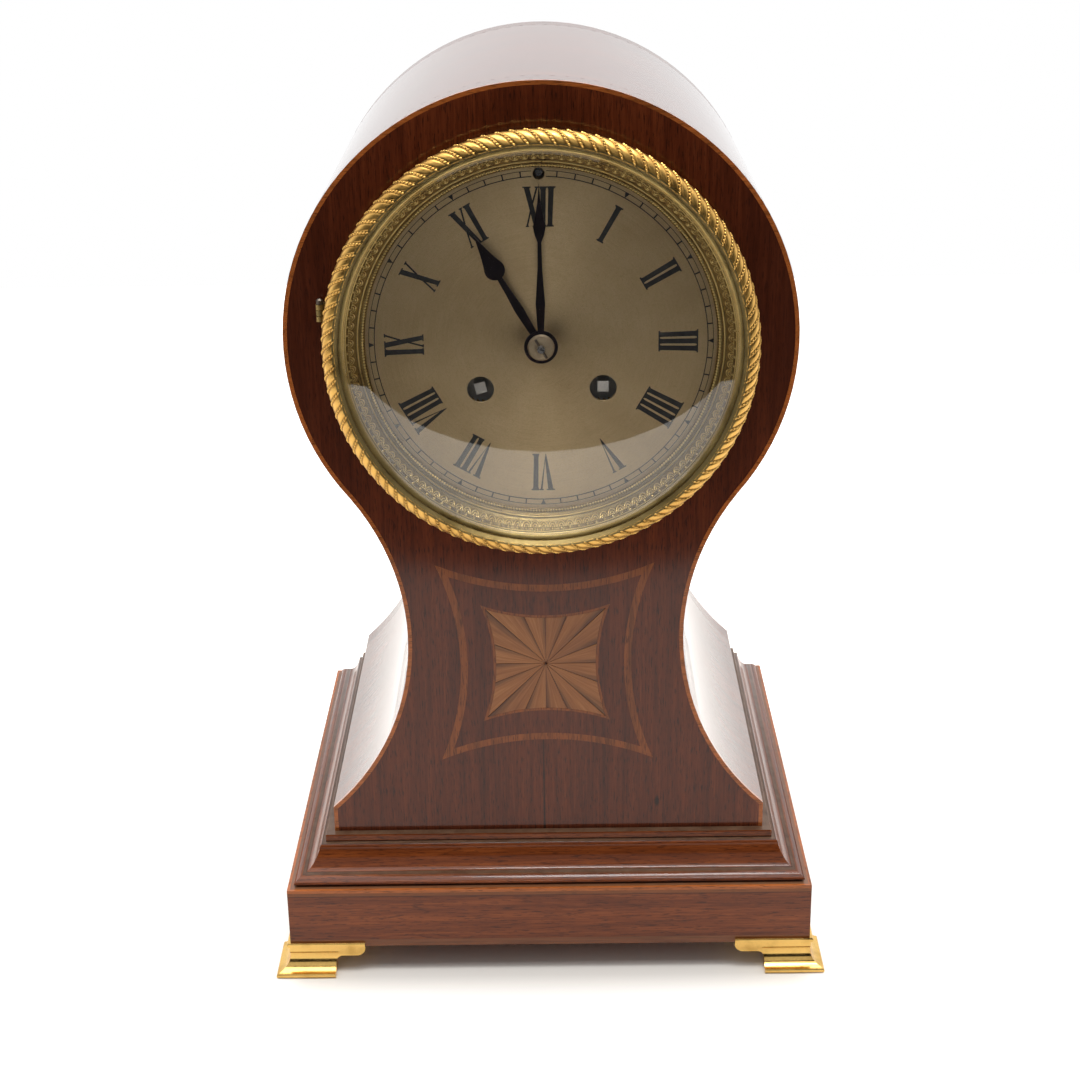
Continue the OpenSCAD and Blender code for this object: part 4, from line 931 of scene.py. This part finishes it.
# Half sizes of the patch under the clock that doesn't glow, and how far from it the glow is full
SHADE_HALF_W, SHADE_HALF_D, GLOW_REACH = 0.086, 0.093, 0.026
PAPER_GLOW = 0.6
# In mirror images the glow grows from the middle of the clock to this far behind it
MIRROR_REACH = 0.15

edge = []
for k in range(HOLLOW_STEPS + 1):
    x = HOLLOW_HALF * k / HOLLOW_STEPS
    edge.append((x, FLOOR_FRONT - HOLLOW * x ** 2, 0))
rim = [(-x, y, z) for x, y, z in edge[:0:-1]] + edge
side_y = edge[-1][1]
corners = [(FLOOR_HALF, side_y, 0), (FLOOR_HALF, FLOOR_BACK, 0), (-FLOOR_HALF, FLOOR_BACK, 0),
           (-FLOOR_HALF, side_y, 0)]
floor_mesh = bpy.data.meshes.new("floor")
floor_mesh.from_pydata(rim + corners, [], [range(len(rim) + len(corners))])
floor = bpy.data.objects.new("floor", floor_mesh)
bpy.context.scene.collection.objects.link(floor)


def white_paper():
    """Paper that glows for the camera, away from the clock, and in mirror images, towards the back."""
    s = Shader("white_paper", Base_Color=(0.88, 0.85, 0.8, 1), Roughness=0.9, Emission_Color=(1, 1, 1, 1))
    path = s.new("ShaderNodeLightPath")
    x, y, _ = s.xyz()
    beside = s.math("MAXIMUM", s.math("SUBTRACT", s.math("ABSOLUTE", x), SHADE_HALF_W), 0.0)
    before = s.math("MAXIMUM", s.math("SUBTRACT", s.math("ABSOLUTE", y), SHADE_HALF_D), 0.0)
    far = s.length(beside, before)
    seen = s.times(path.outputs["Is Camera Ray"], s.span(far, 0.0, GLOW_REACH, 0.0, PAPER_GLOW))
    mirrored = s.times(path.outputs["Is Glossy Ray"], s.span(y, 0.0, MIRROR_REACH, 0.0, PAPER_GLOW))
    s.set("Emission Strength", s.math("ADD", seen, mirrored))
    return s.mat


floor_mesh.materials.append(white_paper())

# The room is white where the camera sees it, also through the glass; for other rays it dims to the front
world = bpy.data.worlds.new("studio")
bpy.context.scene.world = world
world.use_nodes = True
world.node_tree.nodes.clear()
room = Nodes(world.node_tree)
direction = room.new("ShaderNodeTexCoord").outputs["Generated"]
level = room.span(room.xyz(direction)[1], -0.55, 0.05, 0.03, 1.05)
ray = room.new("ShaderNodeLightPath").outputs
direct = room.math("LESS_THAN", ray["Glossy Depth"], 0.5)
through = room.times(ray["Is Transmission Ray"], direct)
seen = room.math("MAXIMUM", ray["Is Camera Ray"], through)
strength = room.math("ADD", seen, room.times(level, room.math("SUBTRACT", 1.0, seen)))
background = room.new("ShaderNodeBackground")
background.inputs["Color"].default_value = (1, 1, 1, 1)
room.put(background.inputs["Strength"], strength)
room.put(room.new("ShaderNodeOutputWorld").inputs["Surface"], background.outputs[0])


def softbox(name, place, target, size, radiance):
    """A rectangular lamp at a place, turned to its target and hidden from the camera."""
    lamp = bpy.data.lights.new(name, "AREA")
    lamp.shape = "RECTANGLE"
    lamp.size, lamp.size_y = size
    lamp.energy = radiance * math.pi * size[0] * size[1]
    obj = bpy.data.objects.new(name, lamp)
    bpy.context.scene.collection.objects.link(obj)
    obj.location = place
    obj.rotation_euler = (Vector(target) - Vector(place)).to_track_quat("-Z", "Y").to_euler()
    obj.visible_camera = False


softbox("front_box", (-0.25, -1.7, 1.45), (0, -0.07, 0.2), (1.8, 1.2), 0.6)
softbox("top_box", (0, 0.0, 1.9), (0, 0, 0.2), (1.9, 1.9), 2.3)
softbox("key_box", (0.1, -0.3, 1.75), (0, 0, 0.2), (0.4, 0.25), 19.0)

# The camera's place and its turns in radians
CAMERA_AT = (0.0040, -0.6691, 0.3980)
YAW, PITCH, ROLL = -0.009, 0.382, -0.016

cam = bpy.data.cameras.new("camera")
cam.sensor_width = 36.0
cam.lens = 64.03
cam.clip_start = 0.01
cam.clip_end = 50.0
forward = Vector((math.sin(YAW) * math.cos(PITCH), math.cos(YAW) * math.cos(PITCH), -math.sin(PITCH)))
right = Vector((math.cos(YAW), -math.sin(YAW), 0))
upward = right.cross(forward)
across = math.cos(ROLL) * right + math.sin(ROLL) * upward
above = -math.sin(ROLL) * right + math.cos(ROLL) * upward
camera = bpy.data.objects.new("camera", cam)
bpy.context.scene.collection.objects.link(camera)
camera.matrix_world = Matrix.Translation(CAMERA_AT) @ Matrix((across, above, -forward)).transposed().to_4x4()
bpy.context.scene.camera = camera
bpy.context.scene.view_settings.view_transform = "Standard"
